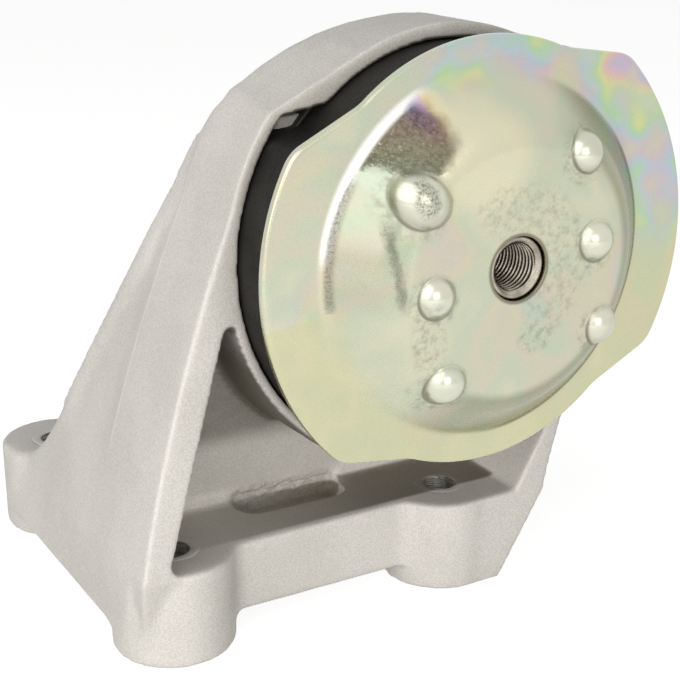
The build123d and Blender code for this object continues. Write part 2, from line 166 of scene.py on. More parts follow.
def feed(tree, socket, value):
    """Links an output to a socket, or sets the socket to a plain value."""
    if isinstance(value, bpy.types.NodeSocket):
        tree.links.new(value, socket)
    else:
        socket.default_value = value


def add_node(tree, kind, settings=None, **sockets):
    """Makes one node; settings are its properties, and sockets are values or outputs to link."""
    node = tree.nodes.new("ShaderNode" + kind)
    for name, value in (settings or {}).items():
        setattr(node, name, value)
    for name, value in sockets.items():
        key = int(name[2:]) if name.startswith("in") and name[2:].isdigit() else name.replace("_", " ")
        feed(tree, node.inputs[key], value)
    return node


def new_group(name, inputs, outputs):
    """Makes a node group with named sockets and returns it with its input and output nodes."""
    tree = bpy.data.node_groups.new(name, "ShaderNodeTree")
    for socket_name, kind, value in inputs:
        socket = tree.interface.new_socket(name=socket_name, in_out="INPUT", socket_type="NodeSocket" + kind)
        if value is not None:
            socket.default_value = value
    for socket_name, kind in outputs:
        tree.interface.new_socket(name=socket_name, in_out="OUTPUT", socket_type="NodeSocket" + kind)
    return tree, tree.nodes.new("NodeGroupInput"), tree.nodes.new("NodeGroupOutput")


def use_group(tree, group, **sockets):
    """Places a node group in a material and sets or links its inputs."""
    node = tree.nodes.new("ShaderNodeGroup")
    node.node_tree = group
    for name, value in sockets.items():
        feed(tree, node.inputs[name.replace("_", " ")], value)
    return node


def calc(tree, operation, first, second=0.0):
    """One Math node and its result."""
    return add_node(tree, "Math", {"operation": operation}, in0=first, in1=second).outputs[0]


def ramp(tree, value, stops):
    """A colour ramp node: stops are pairs of a position and a colour."""
    node = tree.nodes.new("ShaderNodeValToRGB")
    elements = node.color_ramp.elements
    while len(elements) < len(stops):
        elements.new(0.5)
    for element, (position, colour) in zip(elements, stops):
        element.position = position
        element.color = (*colour, 1.0)
    tree.links.new(value, node.inputs["Fac"])
    return node.outputs["Color"]


def srgb(red, green, blue):
    """The linear colour of an sRGB colour given from 0 to 255."""
    levels = np.array([red, green, blue]) / 255.0
    linear = np.where(levels <= 0.04045, levels / 12.92, ((levels + 0.055) / 1.055) ** 2.4)
    return tuple(float(level) for level in linear)


print("mid grey is", round(srgb(128, 128, 128)[0], 3), "in linear light")

# %% [markdown]
# Grain is the finest pattern: the sandy skin of a casting, the dull face of moulded rubber, the
# crystals of a zinc coat. It is a sum of two noises, one at the grain's own size and one four
# times finer. Blotches are the slow changes of shade that hands, oil and cooling leave behind.

# %% Shared patterns: grain and blotches
grain_group, grain_in, grain_out = new_group(
    "fine_grain", [("Vector", "Vector", None), ("Grains per metre", "Float", 1000.0)],
    [("Height", "Float"), ("Mask", "Float")])
coarse = add_node(grain_group, "TexNoise", Vector=grain_in.outputs["Vector"],
                  Scale=grain_in.outputs["Grains per metre"], Detail=2.0, Roughness=0.6)
four_times = calc(grain_group, "MULTIPLY", grain_in.outputs["Grains per metre"], 4.0)
fine = add_node(grain_group, "TexNoise", Vector=grain_in.outputs["Vector"], Scale=four_times,
                Detail=1.0, Roughness=0.5)
blend_grain = add_node(grain_group, "Mix", {"data_type": "FLOAT"}, Factor=0.35)
grain_group.links.new(coarse.outputs["Fac"], blend_grain.inputs["A"])
grain_group.links.new(fine.outputs["Fac"], blend_grain.inputs["B"])
grain_group.links.new(blend_grain.outputs["Result"], grain_out.inputs["Height"])
grain_mask = add_node(grain_group, "MapRange", {"interpolation_type": "SMOOTHSTEP"},
                      Value=blend_grain.outputs["Result"], From_Min=0.36, From_Max=0.64)
grain_group.links.new(grain_mask.outputs["Result"], grain_out.inputs["Mask"])

blotch_group, blotch_in, blotch_out = new_group(
    "slow_blotches",
    [("Vector", "Vector", None), ("Blotches per metre", "Float", 40.0),
     ("Low Colour", "Color", (0.5, 0.5, 0.5, 1.0)), ("High Colour", "Color", (0.6, 0.6, 0.6, 1.0))],
    [("Colour", "Color"), ("Mask", "Float")])
slow = add_node(blotch_group, "TexNoise", Vector=blotch_in.outputs["Vector"],
                Scale=blotch_in.outputs["Blotches per metre"], Detail=3.0, Roughness=0.55)
slow_mask = add_node(blotch_group, "MapRange", {"interpolation_type": "SMOOTHSTEP"},
                     Value=slow.outputs["Fac"], From_Min=0.33, From_Max=0.67)
slow_mix = add_node(blotch_group, "Mix", {"data_type": "RGBA"}, Factor=slow_mask.outputs["Result"])
blotch_group.links.new(blotch_in.outputs["Low Colour"], slow_mix.inputs[6])
blotch_group.links.new(blotch_in.outputs["High Colour"], slow_mix.inputs[7])
blotch_group.links.new(slow_mix.outputs[2], blotch_out.inputs["Colour"])
blotch_group.links.new(slow_mask.outputs["Result"], blotch_out.inputs["Mask"])
print("pattern groups:", len(bpy.data.node_groups))

# %% [markdown]
# New pieces are surfaces over a grid of two parameters, worked out as whole arrays. The grid's
# columns run round the axis and close on themselves. Its rows run along a profile: they either
# close too, like the outline of a ring, or end on the axis, where a fan of triangles shuts them.

# %% Helpers for surfaces
turn = radians(9.3)
seat_centre = np.array([28.6, -55.355, 96.3])
seat_across = np.array([cos(turn), 0.0, sin(turn)])
seat_upward = np.array([-sin(turn), 0.0, cos(turn)])
seat_outward = np.array([0.0, -1.0, 0.0])


def on_seat(u, v, h):
    """Points of the mount's own frame, in mm: centre + u across + v upward + h outward."""
    u, v, h = np.broadcast_arrays(u, v, h)
    return (seat_centre + u[..., None] * seat_across + v[..., None] * seat_upward
            + h[..., None] * seat_outward)


def new_piece(name, points, faces):
    """A mesh object from points in mm and lists of corner numbers, with smooth shading."""
    mesh = bpy.data.meshes.new(name)
    mesh.from_pydata((np.asarray(points) * mm).tolist(), [], faces)
    mesh.shade_smooth()
    piece = bpy.data.objects.new(name, mesh)
    scene.collection.objects.link(piece)
    return piece


def closed_surface(name, grid, rows_close):
    """A closed mesh over a rows x columns x 3 grid, with its faces turned outwards."""
    rows, columns = grid.shape[:2]
    row = np.arange(rows if rows_close else rows - 1)[:, None]
    column = np.arange(columns)[None, :]
    after = (row + 1) % rows
    beside = (column + 1) % columns
    quads = np.stack([row * columns + column, row * columns + beside,
                      after * columns + beside, after * columns + column], axis=-1).reshape(-1, 4)
    points = grid.reshape(-1, 3)
    corner = points[quads]
    volume = np.einsum("ij,ij->", corner[:, 0] - grid.mean((0, 1)),
                       np.cross(corner[:, 1] - corner[:, 0], corner[:, 2] - corner[:, 0]))
    volume += np.einsum("ij,ij->", corner[:, 0] - grid.mean((0, 1)),
                        np.cross(corner[:, 2] - corner[:, 0], corner[:, 3] - corner[:, 0]))
    faces = quads.tolist()
    if not rows_close:
        ends = np.arange(columns)
        tip = len(points)
        points = np.vstack([points, grid[0].mean(0), grid[-1].mean(0)])
        first = np.stack([np.full(columns, tip), (ends + 1) % columns, ends], axis=-1)
        last_ends = (rows - 1) * columns + ends
        last_beside = (rows - 1) * columns + (ends + 1) % columns
        last = np.stack([np.full(columns, tip + 1), last_ends, last_beside], axis=-1)
        faces += first.tolist() + last.tolist()
    if volume < 0:
        faces = [face[::-1] for face in faces]
    return new_piece(name, points, faces)


def rounded_profile(corners, radius, steps=5):
    """A closed profile whose corners are cut by short smooth arcs (quadratic curves) of a radius."""
    corners = np.asarray(corners, dtype=float)
    before = np.roll(corners, 1, axis=0) - corners
    after = np.roll(corners, -1, axis=0) - corners
    reach_before = np.linalg.norm(before, axis=1, keepdims=True)
    reach_after = np.linalg.norm(after, axis=1, keepdims=True)
    start = corners + before * np.minimum(radius / reach_before, 0.45)
    end = corners + after * np.minimum(radius / reach_after, 0.45)
    t = np.linspace(0, 1, steps)[None, :, None]
    arcs = (1 - t) ** 2 * start[:, None] + 2 * t * (1 - t) * corners[:, None] + t ** 2 * end[:, None]
    return arcs.reshape(-1, 2)


def finer(profile, step):
    """The same closed profile with extra points, so that no run is longer than step."""
    ends = np.roll(profile, -1, axis=0)
    lengths = np.linalg.norm(ends - profile, axis=1)
    counts = np.maximum(1, np.ceil(lengths / step)).astype(int)
    index = np.repeat(np.arange(len(profile)), counts)
    share = np.concatenate([np.arange(count) / count for count in counts])[:, None]
    return profile[index] * (1 - share) + ends[index] * share


def turned_ring(name, corners, radius=0.4, columns=160, step=4.0):
    """A ring turned about the mount's axis from a closed profile of (radius, height) corners."""
    profile = finer(rounded_profile(corners, radius), step)
    angle = np.linspace(0, 2 * np.pi, columns, endpoint=False)
    r, h = profile[:, :1], profile[:, 1:]
    grid = on_seat(r * np.cos(angle), r * np.sin(angle), h)
    return closed_surface(name, grid, rows_close=True)


print("seat axes are square:", round(float(seat_across @ seat_upward), 9) == 0)

# %% [markdown]
# The bracket is cast in one piece, and its CAD solid has sharp edges. A real casting has none: the
# molten metal and the sand-blasting round every edge by about a millimetre and fill every inner
# corner. A copy of the solid is turned into small even cells (a voxel remesh), each point is moved
# towards the mean of its neighbours a few times, and the flat areas are thinned out again.

# %% Helpers for the casting


def merged_copy(node, name):
    """A copy of a CAD node's mesh with its loose triangles joined at their corners."""
    piece = bpy.data.objects.new(name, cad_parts[node].data.copy())
    scene.collection.objects.link(piece)
    weld = piece.modifiers.new("join", "WELD")
    weld.merge_threshold = 0.000002
    return settled(piece)


def settled(piece):
    """Replaces a piece's mesh by the result of its modifiers."""
    graph = bpy.context.evaluated_depsgraph_get()
    mesh = bpy.data.meshes.new_from_object(piece.evaluated_get(graph))
    piece.modifiers.clear()
    piece.data = mesh
    return piece


def corner_points(piece):
    """The points of a piece's mesh as an array, in mm."""
    points = np.empty(len(piece.data.vertices) * 3)
    piece.data.vertices.foreach_get("co", points)
    return points.reshape(-1, 3) / mm


def move_points(piece, points):
    """Puts an array of points in mm back into a piece's mesh."""
    piece.data.vertices.foreach_set("co", (points * mm).ravel())
    piece.data.update()


def point_normals(piece):
    """The outward directions at a piece's points."""
    normals = np.empty(len(piece.data.vertices) * 3, dtype=np.float32)
    piece.data.vertex_normals.foreach_get("vector", normals)
    return normals.reshape(-1, 3).astype(float)


def relaxed(piece, rounds, share=0.5, weight=1.0):
    """Moves each point part of the way to the mean of its neighbours, some rounds in a row."""
    edges = np.empty(len(piece.data.edges) * 2, dtype=np.int32)
    piece.data.edges.foreach_get("vertices", edges)
    a, b = edges.reshape(-1, 2).T
    points = corner_points(piece)
    count = len(points)
    degree = np.bincount(a, minlength=count) + np.bincount(b, minlength=count)
    for _ in range(rounds):
        mean = np.stack([np.bincount(a, points[b, axis], count) + np.bincount(b, points[a, axis], count)
                         for axis in range(3)], axis=1) / degree[:, None]
        points += share * np.reshape(weight, (-1, 1)) * (mean - points)
    move_points(piece, points)
    return piece


def small_cells(piece, size):
    """Rebuilds a closed mesh from even cells of a size in mm."""
    cells = piece.modifiers.new("cells", "REMESH")
    cells.mode = "VOXEL"
    cells.voxel_size = size * mm
    return settled(piece)


def thinned(piece, triangles):
    """Merges small faces on flat areas until the mesh has about this many triangles."""
    now = sum(len(polygon.vertices) - 2 for polygon in piece.data.polygons)
    if now > triangles:
        thin = piece.modifiers.new("thin", "DECIMATE")
        thin.ratio = triangles / now
        settled(piece)
    return piece


def ripple(points, size, first=0, waves=7):
    """Smooth pseudo-noise from -1 to 1: a mean of sine waves in fixed, well-spread directions."""
    number = np.arange(first, first + waves)
    height = 1 - 2 * ((number * 0.618034) % 1.0)
    around = number * 2.399963
    flat = np.sqrt(1 - height ** 2)
    directions = np.stack([flat * np.cos(around), flat * np.sin(around), height], axis=1)
    lengths = size * (0.7 + 0.6 * ((number * 0.754878) % 1.0))
    phases = points @ directions.T / lengths * 2 * np.pi + number * 1.7
    return np.sin(phases).mean(axis=1) * 1.6


print("helpers ready")

# %% Casting: round the edges
hole_places = np.array([[x, y] for x in (-39.05, 39.05) for y in (-40.475, 40.475)])
deck_top, pocket_middle, thread_seat = 24.0, 0.8, 5.2
cell_size, edge_rounds, valley_rounds, pocket_rounds = 0.7, 5, 24, 12

casting = merged_copy("bracket_casting", "casting")
points = corner_points(casting)
for hole in hole_places:
    offset = points[:, :2] - hole
    reach = np.linalg.norm(offset, axis=1)
    near = (reach < thread_seat - 0.1) & (points[:, 2] < deck_top + 0.4)
    points[near, :2] = hole + offset[near] / reach[near, None] * thread_seat
move_points(casting, points)
small_cells(casting, cell_size)
relaxed(casting, edge_rounds)
points = corner_points(casting)
x, y, z = points.T
valley = (x < -43) & (y > 8) & (y < 42) & (z > 7) & (z < 46)
shoulder = (y > -48) & (y < -18) & (x < 34) & (z > 122)
relaxed(casting, valley_rounds, weight=1.0 * valley + 1.0 * shoulder)
points = corner_points(casting)
x, y, z = points.T
pocket_lips = (np.abs(x - pocket_middle) < 18) & (y > -29) & (y < -17) & (z > 17) & (z < 29)
relaxed(casting, pocket_rounds, weight=1.0 * pocket_lips)
print("casting:", len(casting.data.vertices), "points after remeshing")

# %% [markdown]
# The photograph shows that the casting isn't perfectly flat. The left cheek falls away in a shallow
# scoop behind a long soft ridge, walls wave by a tenth of a millimetre, and the wall of the pocket at
# the web's foot is rough, where metal was broken off. Each of these moves points along their normals
# by a smooth function of place. At the end, points that left the CAD box are put back on its faces.

# %% Casting: scoop, waves and the rough pocket
points = corner_points(casting)
normals = point_normals(casting)
x, y, z = points.T
push = 0.05 * ripple(points, 22) + 0.02 * ripple(points, 7, first=11)


def smooth_step(value, low, high):
    """Rises from 0 at low to 1 at high along a smooth curve."""
    t = np.clip((value - low) / (high - low), 0, 1)
    return t * t * (3 - 2 * t)


ridge_start, ridge_lean = -20.384, 0.096
most_triangles = 190000

on_left_cheek = smooth_step(-normals[:, 0], 0.55, 0.85) * (x < -12)
ridge_y = ridge_start - ridge_lean * z
scoop_along = smooth_step(z, 32, 52) * (1 - smooth_step(z, 106, 124))
scoop_rear = -7.4 + (78.8 - z) * 0.56
scoop_across = np.clip((y - ridge_y) / 7.0, 0, 1) * (1 - smooth_step(y, scoop_rear - 8, scoop_rear - 2))
push -= 1.0 * on_left_cheek * scoop_along * scoop_across
in_pocket = ((1 - smooth_step(np.abs(x - pocket_middle), 13.5, 16.0))
             * smooth_step(y, -25.2, -23.8) * (y < -17)
             * smooth_step(z, 18.5, 20.5) * (1 - smooth_step(z, 26.4, 27.6)))
push += in_pocket * (0.35 * ripple(points, 3.4, first=23) + 0.3 * ripple(points, 1.9, first=37))
broken_edge = 24.9 + 0.35 * ripple(np.stack([x, 0 * x, 0 * x], axis=1), 5.0, first=3)
push -= 0.5 * in_pocket * np.exp(-((z - broken_edge) / 0.6) ** 2)
pimple = np.exp(-((x + 17.6) ** 2 + (y + 46.6) ** 2 + (z - 22.0) ** 2) / 0.6)
push += 0.5 * pimple
for hole in hole_places:
    push[np.hypot(x - hole[0], y - hole[1]) < 7.0] *= 0.0
points += push[:, None] * normals
move_points(casting, points)
thinned(casting, most_triangles)
move_points(casting, np.clip(corner_points(casting), np.array(cad_low) / mm, np.array(cad_high) / mm))
casting.data.shade_smooth()
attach(casting, "root")
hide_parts("bracket_casting")
print("casting:", len(casting.data.polygons), "faces after thinning")

# %% [markdown]
# Behind the hood's upper left corner, a small shelf of the casting shows in the dark gap. It is built
# from its four corners in the mount's own frame: each row is the rounded outline at one height, and
# the first row is a little smaller, which rounds the front edge.

# %% Casting: the shelf behind the hood's corner
shelf_corners = [(-34.9, 37.8), (-21.4, 36.9), (-24.3, 33.9), (-36.4, 34.9)]
shelf_rows = [(0.9, -7.8), (1.0, -8.2), (1.0, -11.0)]
shelf = rounded_profile(shelf_corners, 0.6)
shelf_middle = shelf.mean(axis=0)
shelf_layers = []
for size, height in shelf_rows:
    layer = shelf_middle + size * (shelf - shelf_middle)
    shelf_layers.append(on_seat(layer[:, 0], layer[:, 1], np.array(height)))
hood_shelf = closed_surface("hood_shelf", np.stack(shelf_layers), rows_close=False)
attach(hood_shelf, "root")
print("shelf:", len(hood_shelf.data.polygons), "faces")

# %% [markdown]
# The cap plate is one pressed sheet of 2.2 mm steel. Its surface is a function of an angle and a
# row: rows step outwards over the dome and the flange to the cut edge, then back behind it. The
# outline is a circle with two ears, whose corners are arcs of 8.5 mm and whose hollows are arcs of
# 12 mm. The dome's profile is a fold, a straight flank and a round shoulder up to the flat top.

# %% Cap plate: outline and dome
plate_flange, plate_wall, plate_rise = 17.7, 2.2, 11.9
flange_radius, ear_radius = 50.6, 58.4
ear_edge, ear_slope = 51.2, radians(17.5)
ear_corner, ear_hollow = 8.5, 12.0
dome_base, fold, shoulder, flank = 45.6, 4.5, 12.5, radians(46)
flank_rise = plate_rise - (fold + shoulder) * (1 - cos(flank))
dome_top = dome_base - (fold + shoulder) * sin(flank) - flank_rise / tan(flank)


def arc_crossing(angle, centre, radius, far):
    """Distance from the axis to a circle, along rays at the angles: its far or its near side."""
    along = centre[0] * np.cos(angle) + centre[1] * np.sin(angle)
    inside = np.maximum(along ** 2 - (centre[0] ** 2 + centre[1] ** 2 - radius ** 2), 0)
    return along + (np.sqrt(inside) if far else -np.sqrt(inside))


def line_arc_centre(reach, gap):
    """The point at a distance reach from the axis and gap above the ear's straight edge."""
    foot = ear_edge * cos(ear_slope) + gap
    along = sqrt(reach ** 2 - foot ** 2)
    return along * cos(ear_slope) + foot * sin(ear_slope), foot * cos(ear_slope) - along * sin(ear_slope)


def plate_outline(angle):
    """Radius of the plate's outline: the flange circle, a hollow arc, a line, a corner arc, the ear."""
    angle = np.abs(np.arctan(np.tan(angle)))
    corner = line_arc_centre(ear_radius - ear_corner, -ear_corner)
    hollow = line_arc_centre(flange_radius + ear_hollow, ear_hollow)
    line = ear_edge * cos(ear_slope) / np.sin(angle + ear_slope)
    corner_from = np.arctan2(corner[1], corner[0])
    foot_of = lambda c, gap: np.arctan2(c[1] - gap * cos(ear_slope), c[0] - gap * sin(ear_slope))
    corner_to = foot_of(corner, -ear_corner)
    hollow_from = foot_of(hollow, ear_hollow)
    hollow_to = np.arctan2(hollow[1], hollow[0])
    return np.select([angle < corner_from, angle < corner_to, angle < hollow_from, angle < hollow_to],
                     [ear_radius, arc_crossing(angle, corner, ear_corner, True), line,
                      arc_crossing(angle, hollow, ear_hollow, False)], flange_radius)


def dome_height(r):
    """Height of the sheet's outer face over the rim plane, at a distance r from the axis."""
    inner_fold = dome_base - fold * sin(flank)
    outer_shoulder = dome_top + shoulder * sin(flank)
    top = plate_flange + plate_rise
    in_fold = plate_flange + fold - np.sqrt(np.maximum(fold ** 2 - (dome_base - r) ** 2, 0))
    in_flank = plate_flange + fold * (1 - cos(flank)) + (inner_fold - r) * tan(flank)
    in_shoulder = top - shoulder + np.sqrt(np.maximum(shoulder ** 2 - (r - dome_top) ** 2, 0))
    return np.select([r > dome_base, r > inner_fold, r > outer_shoulder, r > dome_top],
                     [plate_flange, in_fold, in_flank, in_shoulder], top)


fine_r = np.linspace(0, 60, 1201)
blur = np.exp(-0.5 * (np.linspace(-3, 3, 37)) ** 2)
soft_dome = np.convolve(np.pad(dome_height(fine_r), 18, mode="edge"), blur / blur.sum(), mode="valid")
narrowest = float(plate_outline(np.array([1.5]))[0])
print("outline from", round(narrowest, 1), "to", ear_radius, "mm, dome top", round(dome_top, 1))

# %% [markdown]
# Six bumps are pressed outwards where the plate is joined to the hub behind it. Each is a cap of a
# ball that stands square to the dome where it sits, and it meets the sheet in a small soft fold. The
# large one is drawn out a little along the radius. Sheet and cap are joined by a smooth maximum of
# their heights: half their sum, plus half the root of their squared difference and a small constant.
# Each bump is given by its place u, v, its radius, its rise and its stretch along the radius.

# %% Cap plate: build the sheet
bumps = [(-22.2, 0.0, 4.7, 2.9, 1.0), (-22.2, -21.5, 4.7, 2.9, 1.0), (22.2, 21.5, 4.7, 2.9, 1.0),
         (22.2, 0.0, 4.7, 2.9, 1.0), (22.2, -21.5, 4.7, 2.9, 1.0), (-22.3, 22.3, 5.9, 3.4, 1.1)]
hole_radius, front_round, back_round, inner_inset = 7.5, 0.7, 0.4, 1.8


def round_points(r, angle, h):
    """Points of the flat frame at a radius, an angle and a height."""
    r, angle, h = np.broadcast_arrays(r, angle, h)
    return np.stack([r * np.cos(angle), r * np.sin(angle), h], axis=-1)


def sheet_points(r, angle, depth, bump_inset):
    """The sheet's face at a depth below its outer one, with the bumps pushed up through it."""
    height = np.interp(r, fine_r, soft_dome)
    slope = np.interp(r, fine_r, np.gradient(soft_dome, fine_r))
    tilt = 1 / np.sqrt(1 + slope ** 2)
    r_in = r + slope * tilt * depth
    h_in = height - tilt * depth
    place = round_points(r_in, angle, h_in)
    place[..., 2] += 0.05 * np.sin(place[..., 0] / 9.0 + 1.0) * np.sin(place[..., 1] / 8.0 + 2.0)
    for u, v, radius, rise, stretch in bumps:
        at = hypot(u, v)
        lean = np.interp(at, fine_r, np.gradient(soft_dome, fine_r))
        normal = np.array([-lean * u / at, -lean * v / at, 1.0]) / sqrt(1 + lean ** 2)
        centre = np.array([u, v, np.interp(at, fine_r, soft_dome)])
        offset = place - centre
        along = offset @ normal
        sideways = offset @ np.array([-v / at, u / at, 0.0])
        whole = np.linalg.norm(offset - along[..., None] * normal, axis=-1)
        lengthways = np.sqrt(np.maximum(whole ** 2 - sideways ** 2, 0))
        across = np.hypot(lengthways / stretch, sideways * sqrt(stretch))
        ball = (radius ** 2 + rise ** 2) / (2 * rise)
        cap = np.sqrt(np.maximum((ball - bump_inset) ** 2 - across ** 2, 0)) - (ball - rise)
        lift = cap - along
        near = np.exp(-(np.maximum(across - radius, 0) / 2.0) ** 2)
        place = place + (0.5 * (lift + np.sqrt(lift ** 2 + 0.35)) * near)[..., None] * normal
    return place


def plate_rows(angle):
    """All rows of the plate: outer face outwards, rounded cut edge, inner face inwards."""
    rim = plate_outline(angle)[None, :]
    fixed = np.concatenate([[7.55, 7.7, 8.0, 8.5], np.linspace(9.5, 15, 6), np.linspace(15.5, 39.5, 62),
                            np.linspace(40.1, dome_base, 14)])[:, None]
    share = np.linspace(0, 1, 12)[1:, None]
    outer_r = np.vstack([fixed + 0 * rim, dome_base + (rim - front_round - dome_base) * share])
    outer = sheet_points(outer_r, angle[None, :], 0.0, 0.0)
    turn_t = np.linspace(0, np.pi / 2, 5)[1:, None]
    front_r = rim - front_round + front_round * np.sin(turn_t)
    front_edge = round_points(front_r, angle, plate_flange - 0.6 * (1 - np.cos(turn_t)))
    back_t = np.linspace(0, np.pi / 2, 4)[:, None]
    back_r = rim - back_round + back_round * np.cos(back_t)
    back_h = plate_flange - plate_wall + back_round * (1 - np.sin(back_t))
    back_edge = round_points(back_r, angle, back_h)
    back_fixed = np.concatenate([np.linspace(dome_base, 16, 30), [12, 8.2, hole_radius]])[:, None]
    inner_r = np.vstack([dome_base + (rim - back_round - dome_base) * share[::-1][1:],
                         back_fixed + 0 * rim])
    inner = sheet_points(inner_r, angle[None, :], plate_wall, inner_inset)
    hole = round_points(np.array([[hole_radius]]), angle, plate_flange + plate_rise - 0.35)
    return np.concatenate([outer, front_edge, back_edge, inner, hole])


angle = np.linspace(0, 2 * np.pi, 504, endpoint=False)
rows = plate_rows(angle)
plate = closed_surface("cap_sheet", on_seat(rows[..., 0], rows[..., 1], rows[..., 2]), rows_close=True)
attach(plate, "root")
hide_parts("cap_plate")
print("cap plate:", rows.shape[0], "rows of", rows.shape[1], "points")

# %% [markdown]
# The threaded hub is the steel nut in the middle of the plate. Its thread is a true helix: the
# radius of the bore at an angle and a depth follows a wave of the depth less the angle's share of
# one pitch, so neighbouring turns join up. The base screws' threads are made by the same function
# as thin liners that fill the widened holes of the casting.

# %% Threads
def thread_wall(angle, depth, bore, pitch, cut):
    """Radius of an inner thread: the bore plus a cut that follows a rounded 60 degree wave."""
    phase = (depth / pitch - angle / (2 * np.pi)) % 1.0
    wave = np.clip(1.25 - np.abs(phase - 0.5) * 3.0, 0, 1)
    return bore + cut * wave


hub_bore, hub_cut, base_bore, base_cut, pitch = 5.3, 0.72, 4.3, 0.6, 1.25
hub_recess, nose_height, thread_end = 1.9, 1.15, 22.5
hub_face = plate_flange + plate_rise - hub_recess
nose_face = hub_face + nose_height
hub_angle = np.linspace(0, 2 * np.pi, 96, endpoint=False)[None, :]
wall_depth = np.linspace(0.8, thread_end, 200)[:, None]
run_in = np.clip((wall_depth - 0.6) / 0.5, 0, 1) * np.clip((thread_end - wall_depth) / 1.5, 0, 1)
thread_r = hub_bore + run_in * (thread_wall(hub_angle, wall_depth, hub_bore, pitch, hub_cut) - hub_bore)
mouth = np.array([[0.02, hub_face - 26], [5.2, hub_face - 26], [hub_bore, hub_face - 25.8]])
nose = [[5.9, nose_face - 0.6], [6.25, nose_face - 0.2], [6.5, nose_face - 0.02], [6.8, nose_face],
        [7.1, nose_face - 0.05], [7.35, nose_face - 0.3], [7.44, nose_face - 0.6]]
body = [[7.44, hub_face - 0.4], [19.8, hub_face - 0.4], [20, hub_face - 0.7], [20, hub_face - 4.8],
        [19.7, hub_face - 5.3], [14, hub_face - 13.2], [14, hub_face - 30.8], [13.8, hub_face - 31.0],
        [0.02, hub_face - 31.0]]
outside = np.array(nose + body)
whole_turn = 0 * hub_angle
hub_r = np.vstack([mouth[:, :1] + whole_turn, thread_r[::-1], outside[:, :1] + whole_turn])
hub_h = np.vstack([mouth[:, 1:], nose_face - wall_depth[::-1], outside[:, 1:]]) + whole_turn
hub_grid = on_seat(hub_r * np.cos(hub_angle), hub_r * np.sin(hub_angle), hub_h)
hub = closed_surface("hub_with_thread", hub_grid, rows_close=False)
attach(hub, "root")
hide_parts("threaded_hub")


def base_thread(name, centre):
    """A liner in a boss: outside a plain tube, inside an M10 thread from the underside to the deck."""
    turn_angle = np.linspace(0, 2 * np.pi, 72, endpoint=False)[None, :]
    height = np.linspace(0.5, 24.0, 170)[:, None]
    ends = np.clip((height - 0.5) / 0.5, 0, 1) * np.clip((24.0 - height) / 0.3, 0, 1)
    inner = base_bore + ends * (thread_wall(turn_angle, height, base_bore, pitch, base_cut) - base_bore)
    edge_top = np.array([[4.5, 24.14], [4.65, 24.25], [4.9, 24.31], [6.3, 24.32], [6.9, 24.24],
                         [6.9, 23.8], [5.35, 23.6]])
    edge_low = np.array([[5.35, 0.1], [5.1, 0.0], [4.75, 0.1]])
    flat = 0 * turn_angle
    r = np.vstack([inner, edge_top[:, :1] + flat, edge_low[:, :1] + flat])
    h = np.vstack([height + flat, edge_top[:, 1:] + flat, edge_low[:, 1:] + flat])
    grid = np.stack([centre[0] + r * np.cos(turn_angle), centre[1] + r * np.sin(turn_angle), h], axis=-1)
    return closed_surface(name, grid, rows_close=True)


threads = [base_thread(f"base_thread_{number}", hole) for number, hole in enumerate(hole_places, 1)]
for thread in threads:
    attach(thread, "root")
print("threads: one in the hub and", len(threads), "in the base")

# %% [markdown]
# The rubber spring shows only as a black band between the plate and the casting, but it is a
# thick moulded body. Moulded rubber has no sharp edges either, so it is softened in the same way
# as the casting. The pressed can, the cover and the discs inside are turned rings.

# %% Rubber and inner pieces
rubber = merged_copy("rubber_spring", "rubber_body")
small_cells(rubber, 0.8)
relaxed(rubber, 7)
points = corner_points(rubber)
points += (0.05 * ripple(points, 15, first=5))[:, None] * point_normals(rubber)
move_points(rubber, points)
thinned(rubber, 110000)
rubber.data.shade_smooth()
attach(rubber, "root")
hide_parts("rubber_spring")

seat_radius, can_radius, can_wall, cup_wall = 47.8, 40.0, 1.5, 1.2
can_front, can_step, can_back, cup_back = -6.0, -20.0, -43.4, -51.0
disc_front, slot_front, disc_back, disc_radius, centre_gap = -28.0, -34.0, -37.0, 14.0, 0.3
bore = can_radius - can_wall
cup_bore = bore - cup_wall
inner_profiles = {
    "outer_sleeve": ("pressed_can", [
        (seat_radius - can_wall, can_front), (seat_radius, can_front), (seat_radius, can_step),
        (can_radius, can_step), (can_radius, can_back), (bore, can_back), (bore, can_step + can_wall),
        (seat_radius - can_wall, can_step + can_wall)]),
    "channel_plate": ("channel_disc", [
        (10, disc_front), (bore, disc_front), (bore, disc_back), (disc_radius, disc_back),
        (disc_radius, slot_front), (10, slot_front)]),
    "bellows": ("bellows_skin", [
        (18, disc_back), (cup_bore, disc_back), (cup_bore, -39), (30, -39), (20, -45), (centre_gap, -45),
        (centre_gap, -43), (18, -43), (26, -37.5), (18, -37.5)]),
    "rear_cover": ("rear_cup", [
        (cup_bore, disc_back), (bore, disc_back), (bore, cup_back), (3, cup_back),
        (3, cup_back + cup_wall), (cup_bore, cup_back + cup_wall)]),
    "decoupler_disc": ("decoupler", [
        (centre_gap, slot_front), (disc_radius, slot_front), (disc_radius, disc_back),
        (centre_gap, disc_back)]),
}
inner_pieces = {}
for node, (name, corners) in inner_profiles.items():
    inner_pieces[node] = turned_ring(name, corners, radius=0.45, columns=192)
    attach(inner_pieces[node], "root")
    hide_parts(node)
print("inner pieces:", ", ".join(sorted(inner_pieces)))

# %% [markdown]
# A finish is a material: a Principled shader that is fed by a few patterns. The helpers below make a
# material, mix colours and turn a value into a mask. A level rises smoothly from one value to another.
# A band is 1 near a value and fades on both sides. Paint is laid over a colour by a mask.

# %% Helpers for finishes


